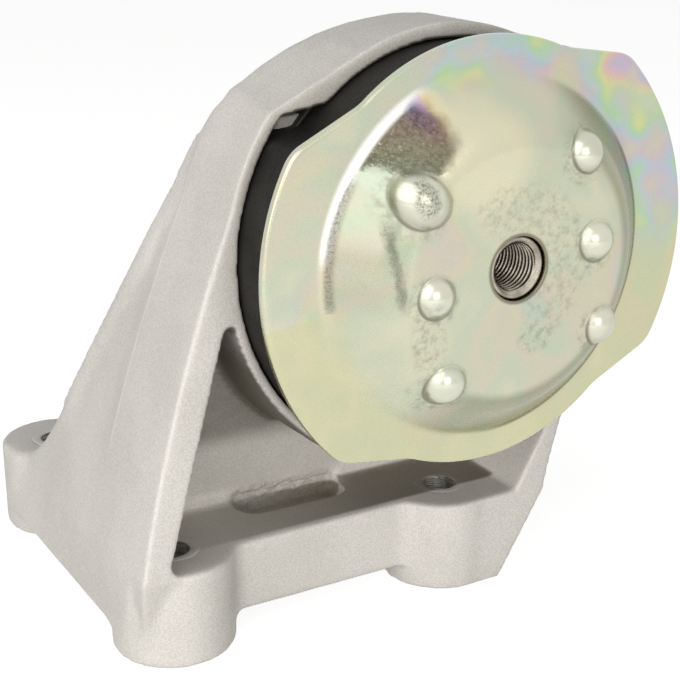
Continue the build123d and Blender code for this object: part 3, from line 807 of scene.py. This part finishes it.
def new_material(name):
    """An empty material with its output and a Principled shader linked to it."""
    material = bpy.data.materials.new(name)
    material.use_nodes = True
    tree = material.node_tree
    tree.nodes.clear()
    shader = tree.nodes.new("ShaderNodeBsdfPrincipled")
    out = tree.nodes.new("ShaderNodeOutputMaterial")
    tree.links.new(shader.outputs["BSDF"], out.inputs["Surface"])
    place = tree.nodes.new("ShaderNodeTexCoord").outputs["Object"]
    return material, tree, shader, place


def mixed(tree, kind, factor, first, second):
    """A colour mix node of a kind, MIX or MULTIPLY, and its result. Its colours are inputs 6 and 7."""
    node = tree.nodes.new("ShaderNodeMix")
    node.data_type = "RGBA"
    node.blend_type = kind
    for key, value in ((0, factor), (6, first), (7, second)):
        feed(tree, node.inputs[key], value)
    return node.outputs[2]


def multiply(tree, first, second, factor=1.0):
    """The product of two colours."""
    return mixed(tree, "MULTIPLY", factor, first, second)


def blend_colours(tree, factor, first, second):
    """A blend from the first colour to the second."""
    return mixed(tree, "MIX", factor, first, second)


def painted(tree, colour, mask, share, paint):
    """The colour under an sRGB paint, which covers it by the mask times a share."""
    amount = mask if share == 1.0 else calc(tree, "MULTIPLY", mask, share)
    return blend_colours(tree, amount, colour, (*srgb(*paint), 1.0))


def shaded(tree, colour, mask, shade):
    """The colour multiplied by a shade (red, green, blue) where the mask is."""
    return multiply(tree, colour, (*shade, 1.0), mask)


def level(tree, value, low, high, to_low=0.0, to_high=1.0):
    """A smooth map of a value from one range to another."""
    node = add_node(tree, "MapRange", {"interpolation_type": "SMOOTHSTEP"}, Value=value,
                    From_Min=low, From_Max=high, To_Min=to_low, To_Max=to_high)
    return node.outputs["Result"]


def band(tree, value, middle, half, soft):
    """A mask that is 1 where the value is within half of the middle and fades over soft."""
    away = calc(tree, "ABSOLUTE", calc(tree, "SUBTRACT", value, middle))
    return level(tree, away, half, half + soft, 1.0, 0.0)


def both(tree, first, *others):
    """The product of masks."""
    for other in others:
        first = calc(tree, "MULTIPLY", first, other)
    return first


def noise(tree, vector, scale, detail=2.0, roughness=0.5):
    """The value of a noise, from 0 to 1, with a scale in cells per unit of the vector."""
    node = add_node(tree, "TexNoise", Vector=vector, Scale=scale, Detail=detail, Roughness=roughness)
    return node.outputs["Fac"]


def bumped(tree, shader, height, strength, distance):
    """Feeds a height through a Bump node into the shader's normal."""
    node = add_node(tree, "Bump", Height=height, Strength=strength, Distance=distance)
    tree.links.new(node.outputs["Normal"], shader.inputs["Normal"])


def grained(tree, shader, place, per_metre, smooth, rough):
    """A grain node whose mask sets the roughness between two values."""
    grain = use_group(tree, grain_group, Vector=place, Grains_per_metre=per_metre)
    roughness = level(tree, grain.outputs["Mask"], 0.0, 1.0, smooth, rough)
    tree.links.new(roughness, shader.inputs["Roughness"])
    return grain


def blotched(tree, place, per_metre, low, high):
    """A colour that wanders slowly between two sRGB colours."""
    node = use_group(tree, blotch_group, Vector=place, Blotches_per_metre=per_metre,
                     Low_Colour=(*srgb(*low), 1.0), High_Colour=(*srgb(*high), 1.0))
    return node.outputs["Colour"]


def plain_finish(name, grains, blotches, metallic, specular, strength, distance):
    """A material with a grain (per metre, roughness from, to) and blotches (per metre, two colours)."""
    material, tree, shader, place = new_material(name)
    grain = grained(tree, shader, place, *grains)
    tree.links.new(blotched(tree, place, *blotches), shader.inputs["Base Color"])
    shader.inputs["Metallic"].default_value = metallic
    shader.inputs["Specular IOR Level"].default_value = specular
    bumped(tree, shader, grain.outputs["Height"], strength, distance)
    return material


def seat_frame(tree, place):
    """The place in the mount's own frame, in mm: its parts, the flat place u, v and its length."""
    seat_map = add_node(tree, "Mapping", {"vector_type": "TEXTURE"}, Vector=place,
                        Location=tuple(float(value) for value in seat_centre * mm),
                        Rotation=(0.0, -turn, 0.0), Scale=(mm, mm, mm))
    parts = add_node(tree, "SeparateXYZ", Vector=seat_map.outputs["Vector"])
    flat = add_node(tree, "CombineXYZ", X=parts.outputs["X"], Y=parts.outputs["Z"]).outputs["Vector"]
    far = add_node(tree, "VectorMath", {"operation": "LENGTH"}, in0=flat).outputs["Value"]
    return parts, flat, far


print("finish helpers ready")

# %% [markdown]
# Blasted die-cast aluminium is a pale warm grey with a sandy grain. It is metal, but so rough that
# it hardly mirrors, so it is shaded mostly like a matt paint, and its shade changes slowly over the
# surface. The grain feeds a Bump node, and the blotches feed the base colour.

# %% Finish: cast aluminium, its skin
cast, tree, shader, place = new_material("blasted_cast_aluminium")
grain = grained(tree, shader, place, 2100.0, 0.66, 0.54)
skin = blotched(tree, place, 28.0, (211, 208, 202), (222, 219, 214))
speck = level(tree, grain.outputs["Mask"], 0.0, 1.0, 0.86, 1.05)
speck_colour = add_node(tree, "CombineColor", Red=speck, Green=speck, Blue=speck).outputs["Color"]
skin = multiply(tree, skin, speck_colour)
shader.inputs["Metallic"].default_value = 0.15
shader.inputs["Specular IOR Level"].default_value = 0.3
print("cast skin:", len(tree.nodes), "nodes")

# %% [markdown]
# A dark jagged line in the pocket marks the edge of the broken metal, and flakes cover the wall under
# it. Both are masks from bands of the three coordinates, in millimetres.

# %% Finish: cast aluminium, the broken metal
in_mm = add_node(tree, "VectorMath", {"operation": "MULTIPLY"}, in0=place,
                 in1=(1 / mm, 1 / mm, 1 / mm)).outputs["Vector"]
axes = add_node(tree, "SeparateXYZ", Vector=in_mm)
x_at, y_at, z_at = [axes.outputs[key] for key in "XYZ"]
jagged = calc(tree, "MULTIPLY", noise(tree, in_mm, 0.55, 4.0, 0.7), 1.9)
over_crack = calc(tree, "SUBTRACT", z_at, calc(tree, "ADD", deck_top, jagged))
crack = both(tree, band(tree, over_crack, 0.0, 0.02, 0.26), band(tree, x_at, pocket_middle, 13.5, 1.5),
             band(tree, y_at, -22.6, 1.6, 0.6))
skin = painted(tree, skin, crack, 0.4, (104, 96, 84))
torn = both(tree, band(tree, x_at, pocket_middle, 14.0, 2.0), band(tree, y_at, -22.8, 1.6, 0.8),
            band(tree, z_at, 23.0, 3.6, 1.6))
flakes = add_node(tree, "TexNoise", Vector=in_mm, Scale=1.3, Detail=5.0, Roughness=0.75,
                  Distortion=0.6).outputs["Fac"]
flaked = both(tree, torn, level(tree, flakes, 0.48, 0.66, 0.1, 0.45))
skin = painted(tree, skin, flaked, 1.0, (136, 127, 113))
print("with broken metal:", len(tree.nodes), "nodes")

# %% [markdown]
# The deck, the slot of the pocket, the faces that look down and the hood's front band are darker than
# soft lamps alone make them. On the deck and in the slot this is dirt and painted shade; on the faces
# that look down and on the hood's front band it is painted shade. The masks below lay it on: by place,
# and by the direction in which a face looks. A thin pale line on the left cheek's ridge is a painted
# highlight.

# %% Finish: cast aluminium, dirt, painted shade and the ridge's painted highlight
facing = add_node(tree, "SeparateXYZ", Vector=add_node(tree, "NewGeometry").outputs["Normal"])
on_deck = both(tree, band(tree, z_at, 23.7, 0.9, 0.9), band(tree, y_at, -32.0, 11.6, 1.6),
               level(tree, facing.outputs["Z"], 0.2, 0.6))
# Dirt and painted shade on the deck, stronger towards the right
deck_dirt_and_shade = both(tree, on_deck, level(tree, x_at, -42.0, 32.0, 0.27, 1.0))
skin = shaded(tree, skin, deck_dirt_and_shade, (0.33, 0.31, 0.27))
in_slot = both(tree, band(tree, x_at, pocket_middle, 17.0, 1.5), band(tree, z_at, 19.6, 3.0, 0.8),
               band(tree, y_at, -22.0, 3.4, 1.2))
# Dirt and painted shade in the slot of the pocket
slot_dirt_and_shade = both(tree, in_slot, level(tree, x_at, -20.0, 18.0, 0.2, 1.0))
skin = shaded(tree, skin, slot_dirt_and_shade, (0.50, 0.47, 0.41))
# Painted shade on faces that look down, above about 40 mm
downward_shade = both(tree, level(tree, facing.outputs["Z"], -0.05, -0.45), level(tree, z_at, 40.0, 48.0))
skin = shaded(tree, skin, downward_shade, (0.22, 0.21, 0.18))
# Painted shade on the hood's front band
hood_band_shade = both(tree, level(tree, facing.outputs["Y"], -0.6, -0.85), level(tree, z_at, 104.0, 116.0))
skin = shaded(tree, skin, hood_band_shade, (0.82, 0.82, 0.80))
# A painted highlight along the ridge of the left cheek
ridge_highlight_start = -20.4
ridge_line = calc(tree, "ADD", calc(tree, "MULTIPLY", z_at, -ridge_lean), ridge_highlight_start)
from_ridge = calc(tree, "SUBTRACT", y_at, ridge_line)
ridge = both(tree, band(tree, from_ridge, 0.0, 0.15, 0.5), band(tree, z_at, 82.0, 28.0, 12.0),
             level(tree, x_at, -14.0, -10.0, 1.0, 0.0))
skin = painted(tree, skin, ridge, 0.45, (244, 243, 239))
tree.links.new(skin, shader.inputs["Base Color"])
torn_height = both(tree, torn, calc(tree, "MULTIPLY", flakes, 3.0))
bumped(tree, shader, calc(tree, "ADD", grain.outputs["Height"], torn_height), 0.45, 0.00025)
casting.data.materials.clear()
casting.data.materials.append(cast)
hood_shelf.data.materials.append(cast)
print("cast finish:", len(tree.nodes), "nodes")

# %% [markdown]
# The plate is zinc-plated and passivated. The clear film on the zinc is thin enough to split light
# into colours, so the plate is a pale green-yellow with hints of pink and blue. Every mark below is a
# mask in the plate's own flat frame (u across, v upward, in millimetres): a round spot, a band of
# the distance from the middle, or a span of the angle. A shaken copy of the frame, moved about by a
# noise, gives spots a ragged edge.

# %% Finish: passivated zinc, its frame and masks
zinc, tree, shader, place = new_material("passivated_zinc")
parts, flat, far = seat_frame(tree, place)
u_at, v_at = parts.outputs["X"], parts.outputs["Z"]
heading = calc(tree, "ARCTAN2", v_at, u_at)
shake = 3.0
shaking = add_node(tree, "TexNoise", Vector=flat, Scale=0.45, Detail=3.0, Roughness=0.6)
shaken = add_node(tree, "VectorMath", {"operation": "MULTIPLY_ADD"}, in0=shaking.outputs["Color"],
                  in1=(shake, shake, 0.0), in2=flat).outputs["Vector"]
shaken = add_node(tree, "VectorMath", {"operation": "SUBTRACT"}, in0=shaken,
                  in1=(shake / 2, shake / 2, 0.0)).outputs["Vector"]
shaken_parts = add_node(tree, "SeparateXYZ", Vector=shaken)
shaken_u, shaken_v = shaken_parts.outputs["X"], shaken_parts.outputs["Y"]


def spot(u, v, size_u, size_v, soft, vector=flat):
    """A mask that is 1 inside an ellipse round u, v and fades over soft times its size."""
    offset = add_node(tree, "VectorMath", {"operation": "SUBTRACT"}, in0=vector, in1=(u, v, 0.0))
    scaled = add_node(tree, "VectorMath", {"operation": "MULTIPLY"}, in0=offset.outputs["Vector"],
                      in1=(1.0 / size_u, 1.0 / size_v, 0.0))
    away = add_node(tree, "VectorMath", {"operation": "LENGTH"}, in0=scaled.outputs["Vector"])
    return level(tree, away.outputs["Value"], 1.0, 1.0 + soft, 1.0, 0.0)


def span(first, last, soft=0.2):
    """A mask of the angle round the middle, from first to last in degrees."""
    return band(tree, heading, radians((first + last) / 2), radians((last - first) / 2), soft)


print("masks in a frame turned by", round(float(np.degrees(turn)), 1), "degrees")

# %% [markdown]
# A slow noise stands for the film's thickness, and a colour ramp gives each thickness its tint. The
# full rainbow shows on the upper right of the flange, and only a breath of it elsewhere. The lower
# flange is yellower, a cream painted highlight lies above the middle, and the lower right flank has
# painted shade.

# %% Finish: passivated zinc, the film's tints
film = noise(tree, flat, 0.028, 3.0, 0.55)
colour = ramp(tree, film, [
    (0.32, srgb(197, 207, 184)), (0.42, srgb(213, 212, 188)), (0.50, srgb(200, 207, 184)),
    (0.57, srgb(211, 204, 184)), (0.66, srgb(194, 206, 184))])
bands = calc(tree, "FRACT", calc(tree, "MULTIPLY", noise(tree, flat, 0.045), 4.0))
rainbow = ramp(tree, bands, [
    (0.0, srgb(176, 216, 170)), (0.2, srgb(222, 222, 150)), (0.4, srgb(232, 190, 180)),
    (0.6, srgb(206, 182, 214)), (0.8, srgb(178, 202, 222)), (1.0, srgb(176, 216, 170))])
on_flange = level(tree, far, 39.0, 45.0)
strong = both(tree, on_flange, span(0, 96, 0.3), level(tree, noise(tree, flat, 0.09), 0.35, 0.6, 0.2, 0.75))
colour = blend_colours(tree, strong, colour, rainbow)
faint = calc(tree, "MULTIPLY", level(tree, noise(tree, flat, 0.05, 1.0), 0.45, 0.7), 0.14)
colour = blend_colours(tree, faint, colour, rainbow)
colour = painted(tree, colour, both(tree, on_flange, span(-179, -20, 0.3)), 0.35, (212, 204, 148))
# A cream painted highlight above the middle
colour = painted(tree, colour, spot(-6.0, 27.0, 8.0, 7.0, 1.2), 0.65, (236, 228, 198))
colour = multiply(tree, colour, (0.92, 0.92, 0.91, 1.0))
# Painted shade on the lower right flank
low_flank_shade = both(tree, band(tree, far, 36.5, 4.5, 3.0), span(-115, 40, 0.5))
colour = multiply(tree, colour, (*srgb(206, 206, 200), 1.0), low_flank_shade)
print("film tints:", len(tree.nodes), "nodes so far")

# %% [markdown]
# The fold round the dome has a painted highlight at the upper left, a dark line beside it and a
# painted dark reflection along its lower right. Beside the highlight the flank has a little painted
# shade, with a grey streak down it.

# %% Finish: passivated zinc, folds and streaks
crumbs = level(tree, noise(tree, flat, 1.7, 3.0, 0.7), 0.46, 0.6)
fine_crumbs = level(tree, noise(tree, flat, 3.2, 2.0, 0.6), 0.5, 0.62)
# A painted highlight in the fold at the upper left
fold_highlight = both(tree, band(tree, far, 44.0, 0.5, 1.3), span(112, 160, 0.15), 0.8)
colour = blend_colours(tree, fold_highlight, colour, (0.98, 0.97, 0.95, 1.0))
# Painted shade on the flank beside the highlight
flank_shade = both(tree, band(tree, far, 36.0, 5.5, 2.0), level(tree, v_at, -4.0, 7.0),
                   level(tree, u_at, -22.0, -29.0))
colour = shaded(tree, colour, flank_shade, (0.80, 0.80, 0.79))
# A dark line in the fold at the upper left
fold_dark_line = both(tree, band(tree, far, 43.0, 0.2, 1.3), span(143, 176, 0.12),
                  level(tree, crumbs, 0.0, 1.0, 0.5, 0.72))
colour = painted(tree, colour, fold_dark_line, 1.0, (92, 84, 70))
# A painted dark reflection along the fold's lower right
low_fold_reflection = both(tree, band(tree, far, 42.9, 0.25, 1.0), span(-88, 18, 0.3))
colour = painted(tree, colour, low_fold_reflection, 0.7, (104, 92, 62))
grey_streak = both(tree, band(tree, shaken_u, -30.6, 0.1, 1.5), band(tree, v_at, 9.5, 7.0, 5.0))
colour = painted(tree, colour, grey_streak, 0.55, (112, 112, 100))
colour = painted(tree, colour, both(tree, grey_streak, fine_crumbs), 0.45, (84, 80, 70))
print("folds and streaks:", len(tree.nodes), "nodes so far")

# %% [markdown]
# The dark patch at the upper left is a painted dark reflection, tinted by the film. It lies inside the
# fold and over a slanting line. Its colour runs from green-grey at the left to brown and violet at the
# top, mottled dark, with painted glints. A coloured fringe surrounds its tip, and a clean flat spot lies
# below it.

# %% Finish: passivated zinc, the dark patch
low_line = calc(tree, "ADD", shaken_v, calc(tree, "MULTIPLY", u_at, 0.17))
# The patch: a painted dark reflection
patch = both(tree, level(tree, far, 42.5, 43.4, 1.0, 0.0), spot(-24.0, 34.0, 10.6, 7.8, 0.42, shaken),
             level(tree, low_line, 23.5, 24.4))
tint_up = calc(tree, "MULTIPLY", calc(tree, "SUBTRACT", shaken_v, 26.0), 0.058)
tint_across = calc(tree, "MULTIPLY", calc(tree, "ADD", shaken_u, 22.0), 0.018)
patch_colour = ramp(tree, calc(tree, "ADD", tint_up, tint_across), [
    (0.1, srgb(88, 96, 76)), (0.35, srgb(112, 106, 82)), (0.58, srgb(124, 102, 88)),
    (0.8, srgb(116, 94, 100)), (0.98, srgb(112, 98, 146))])
mottled = level(tree, noise(tree, flat, 0.9, 5.0, 0.7), 0.42, 0.6)
# Painted glints in the patch
painted_glints = both(tree, level(tree, noise(tree, flat, 1.6, 5.0, 0.8), 0.55, 0.64),
              level(tree, shaken_u, -19.0, -26.0, 0.35, 1.0))
patch_colour = shaded(tree, patch_colour, mottled, (0.46, 0.46, 0.44))
patch_colour = shaded(tree, patch_colour, fine_crumbs, (0.6, 0.6, 0.6))
patch_colour = painted(tree, patch_colour, painted_glints, 1.0, (196, 192, 176))
fringe = both(tree, level(tree, far, 44.8, 43.0), spot(-13.5, 38.5, 3.5, 4.0, 0.5, shaken), 0.6)
fringe_colour = ramp(tree, level(tree, shaken_u, -17.5, -9.5), [
    (0.1, srgb(140, 116, 170)), (0.4, srgb(206, 160, 196)), (0.62, srgb(240, 206, 136)),
    (0.9, srgb(226, 216, 176))])
colour = blend_colours(tree, fringe, colour, fringe_colour)
colour = blend_colours(tree, calc(tree, "MULTIPLY", patch, 0.86), colour, patch_colour)
colour = painted(tree, colour, spot(-28.6, 27.2, 2.9, 2.0, 0.5, shaken), 1.0, (176, 184, 166))
print("patch:", len(tree.nodes), "nodes so far")

# %% [markdown]
# Each bump is lighter on top, a painted highlight, where it is also a little glossier; it has painted
# shade on its lower right side and a darker painted shade along its foot at the left.
# Crescents are made of two spots: inside the first one and outside the second, which is shifted.
# Scuffs lie round the bumps, round the hole and in two places below.

# %% Finish: passivated zinc, bumps and scuffs
on_bump = near_bump = foot_shade = shaded_side = 0.0
for u, v, radius, *_ in bumps:
    top, wide, foot, clear = radius * 0.9, radius * 1.15, radius * 1.06, radius * 1.02
    lit, whole = radius * 0.6, radius * 0.98
    on_bump = calc(tree, "MAXIMUM", on_bump, spot(u, v, top, top, 0.25))
    near_bump = calc(tree, "MAXIMUM", near_bump, spot(u - 1.2, v - 0.8, wide, wide, 0.4, shaken))
    past_foot = calc(tree, "SUBTRACT", 1.0, spot(u + 0.45, v + 0.25, clear, clear, 0.12))
    foot_shade = calc(tree, "MAXIMUM", foot_shade, both(tree, spot(u, v, foot, foot, 0.1), past_foot))
    past_light = calc(tree, "SUBTRACT", 1.0, spot(u - 0.9, v + 0.9, lit, lit, 0.6))
    shaded_side = calc(tree, "MAXIMUM", shaded_side, both(tree, spot(u, v, whole, whole, 0.08), past_light))
# Painted highlight on bump tops, painted shade on their lower right sides and along their feet
for mask, share, paint in ((on_bump, 0.6, (222, 222, 208)), (shaded_side, 0.4, (160, 162, 146)),
                           (foot_shade, 0.75, (98, 94, 76))):
    colour = painted(tree, colour, mask, share, paint)
big_bump_wear = both(tree, spot(-22.6, 23.3, 1.8, 3.0, 0.9, shaken),
                     level(tree, crumbs, 0.0, 1.0, 0.35, 1.0))
colour = painted(tree, colour, big_bump_wear, 0.8, (118, 120, 108))
colour = painted(tree, colour, level(tree, far, 7.9, 8.6, 0.75, 0.0), 1.0, (104, 94, 74))
rubbed = both(tree, near_bump, calc(tree, "SUBTRACT", 1.0, on_bump))
for rubbed_place in (both(tree, band(tree, far, 13.5, 4.0, 4.0), span(-75, 110, 0.4), 0.7),
                     spot(-25.5, -9.0, 3.0, 7.0, 0.7, shaken), spot(3.0, -17.5, 4.0, 3.0, 0.6)):
    rubbed = calc(tree, "MAXIMUM", rubbed, rubbed_place)
scuffs = both(tree, rubbed, level(tree, noise(tree, flat, 0.5, 5.0, 0.7), 0.42, 0.68))
colour = painted(tree, colour, scuffs, 0.62, (150, 149, 132))
tree.links.new(colour, shader.inputs["Base Color"])
print("bumps and scuffs:", len(tree.nodes), "nodes so far")

# %% [markdown]
# Plating is a metal, so its mirror image takes the base colour. The roughness is that of satin, higher
# in the patch and the scuffs, which are also a little pitted.

# %% Finish: passivated zinc, its gloss
shader.inputs["Metallic"].default_value = 1.0
grain = use_group(tree, grain_group, Vector=place, Grains_per_metre=900.0)
satin = level(tree, grain.outputs["Mask"], 0.0, 1.0, 0.25, 0.29)
satin = calc(tree, "SUBTRACT", satin, calc(tree, "MULTIPLY", on_bump, 0.03))
worn = calc(tree, "MULTIPLY", calc(tree, "MAXIMUM", scuffs, patch), 0.2)
tree.links.new(calc(tree, "ADD", satin, worn), shader.inputs["Roughness"])
pitted = calc(tree, "MAXIMUM", calc(tree, "MULTIPLY", scuffs, 0.5), both(tree, patch, fine_crumbs))
pits = calc(tree, "MULTIPLY", pitted, -0.5)
crystals = calc(tree, "MULTIPLY", grain.outputs["Height"], 0.35)
bumped(tree, shader, calc(tree, "ADD", crystals, pits), 0.11, 0.0002)
plate.data.materials.append(zinc)
print("zinc finish:", len(tree.nodes), "nodes")

# %% [markdown]
# The hub is bare machined steel, a darker warm grey, with painted shade in the roots of its thread and
# at the outer edge of its nose, in the gap to the plate, and fine turned rings on its nose. The threads
# of the base are bare aluminium, but the ring that their liners lay on the deck has the casting's own
# finish.

# %% Finish: machined steel and tapped aluminium
steel, tree, shader, place = new_material("machined_steel")
parts, flat, far = seat_frame(tree, place)
grain = grained(tree, shader, place, 2500.0, 0.2, 0.32)
steel_colour = blotched(tree, place, 300.0, (150, 142, 129), (190, 182, 169))
inside = level(tree, parts.outputs["Y"], -nose_face + 0.6, -nose_face + 0.9)
# Painted shade in the roots of the thread
shaded_thread_roots = both(tree, inside, level(tree, far, 5.38, 5.75))
steel_colour = painted(tree, steel_colour, shaded_thread_roots, 0.92, (40, 34, 27))
rings = noise(tree, add_node(tree, "CombineXYZ", X=far).outputs["Vector"], 3.2)
turned_marks = both(tree, level(tree, far, 6.0, 6.1), level(tree, rings, 0.4, 0.6, 0.0, 0.3))
steel_colour = painted(tree, steel_colour, turned_marks, 1.0, (112, 104, 92))
# Painted shade at the nose's outer edge, in the gap to the plate
steel_colour = painted(tree, steel_colour, level(tree, far, 7.0, 7.35, 0.0, 0.7), 1.0, (70, 60, 46))
tree.links.new(steel_colour, shader.inputs["Base Color"])
shader.inputs["Metallic"].default_value = 1.0
bumped(tree, shader, grain.outputs["Height"], 0.12, 0.0001)
hub.data.materials.append(steel)
tapped = plain_finish("tapped_aluminium", (2500.0, 0.26, 0.4), (200.0, (150, 147, 141), (190, 187, 181)),
                      1.0, 0.5, 0.15, 0.0001)
rim_height = (deck_top + 0.12) * mm
for thread in threads:
    thread.data.materials.append(tapped)
    thread.data.materials.append(cast)
    middles = np.empty(len(thread.data.polygons) * 3)
    thread.data.polygons.foreach_get("center", middles)
    on_rim = middles.reshape(-1, 3)[:, 2] > rim_height
    thread.data.polygons.foreach_set("material_index", on_rim.astype(np.int32))
print("steel and tapped finishes on", 1 + len(threads), "pieces")

# %% [markdown]
# Moulded rubber is nearly black and dull, with hardly any gloss. The hidden can, cover and disc are
# of dark coated steel.

# %% Finish: rubber and coated steel
black = plain_finish("moulded_rubber", (1200.0, 0.55, 0.72), (60.0, (30, 28, 27), (46, 44, 41)),
                     0.0, 0.15, 0.3, 0.0002)
rubber.data.materials.clear()
rubber.data.materials.append(black)
for node in ("bellows", "decoupler_disc"):
    inner_pieces[node].data.materials.append(black)
coated = plain_finish("coated_steel", (1400.0, 0.5, 0.62), (50.0, (62, 62, 60), (82, 82, 79)),
                      0.4, 0.5, 0.2, 0.0002)
for node in ("outer_sleeve", "rear_cover", "channel_plate"):
    inner_pieces[node].data.materials.append(coated)
print("materials:", ", ".join(sorted(material.name for material in bpy.data.materials if material.users)))

# %% [markdown]
# The floor is one pale sheet. For the camera and for reflections a glow lifts it to white, and its
# shade of grey keeps the mount's soft shadow. For all other light it is a dull grey without glow, so
# that it throws little light up at the casting's foot.

# %% Floor
floor_mesh = bpy.data.meshes.new("floor")
reach, just_below, glow = 4.0, -0.0003, 0.84
floor_corners = [(-reach, -reach, 0), (reach, -reach, 0), (reach, reach, 0), (-reach, reach, 0)]
floor_mesh.from_pydata(floor_corners, [], [(0, 1, 2, 3)])
floor = bpy.data.objects.new("floor", floor_mesh)
scene.collection.objects.link(floor)
floor.location = (0, 0, just_below)
card, tree, shader, place = new_material("white_card")
rays = tree.nodes.new("ShaderNodeLightPath")
mirrored = calc(tree, "MAXIMUM", rays.outputs["Is Camera Ray"], rays.outputs["Is Glossy Ray"])
seen_or_not = blend_colours(tree, mirrored, (0.32, 0.32, 0.31, 1.0), (0.5, 0.5, 0.5, 1.0))
tree.links.new(seen_or_not, shader.inputs["Base Color"])
shader.inputs["Roughness"].default_value = 1.0
shader.inputs["Specular IOR Level"].default_value = 0.0
shader.inputs["Emission Color"].default_value = (1.0, 1.0, 1.0, 1.0)
tree.links.new(level(tree, mirrored, 0.0, 1.0, 0.0, glow), shader.inputs["Emission Strength"])
floor_mesh.materials.append(card)
print("floor is", 2 * reach, "m wide")
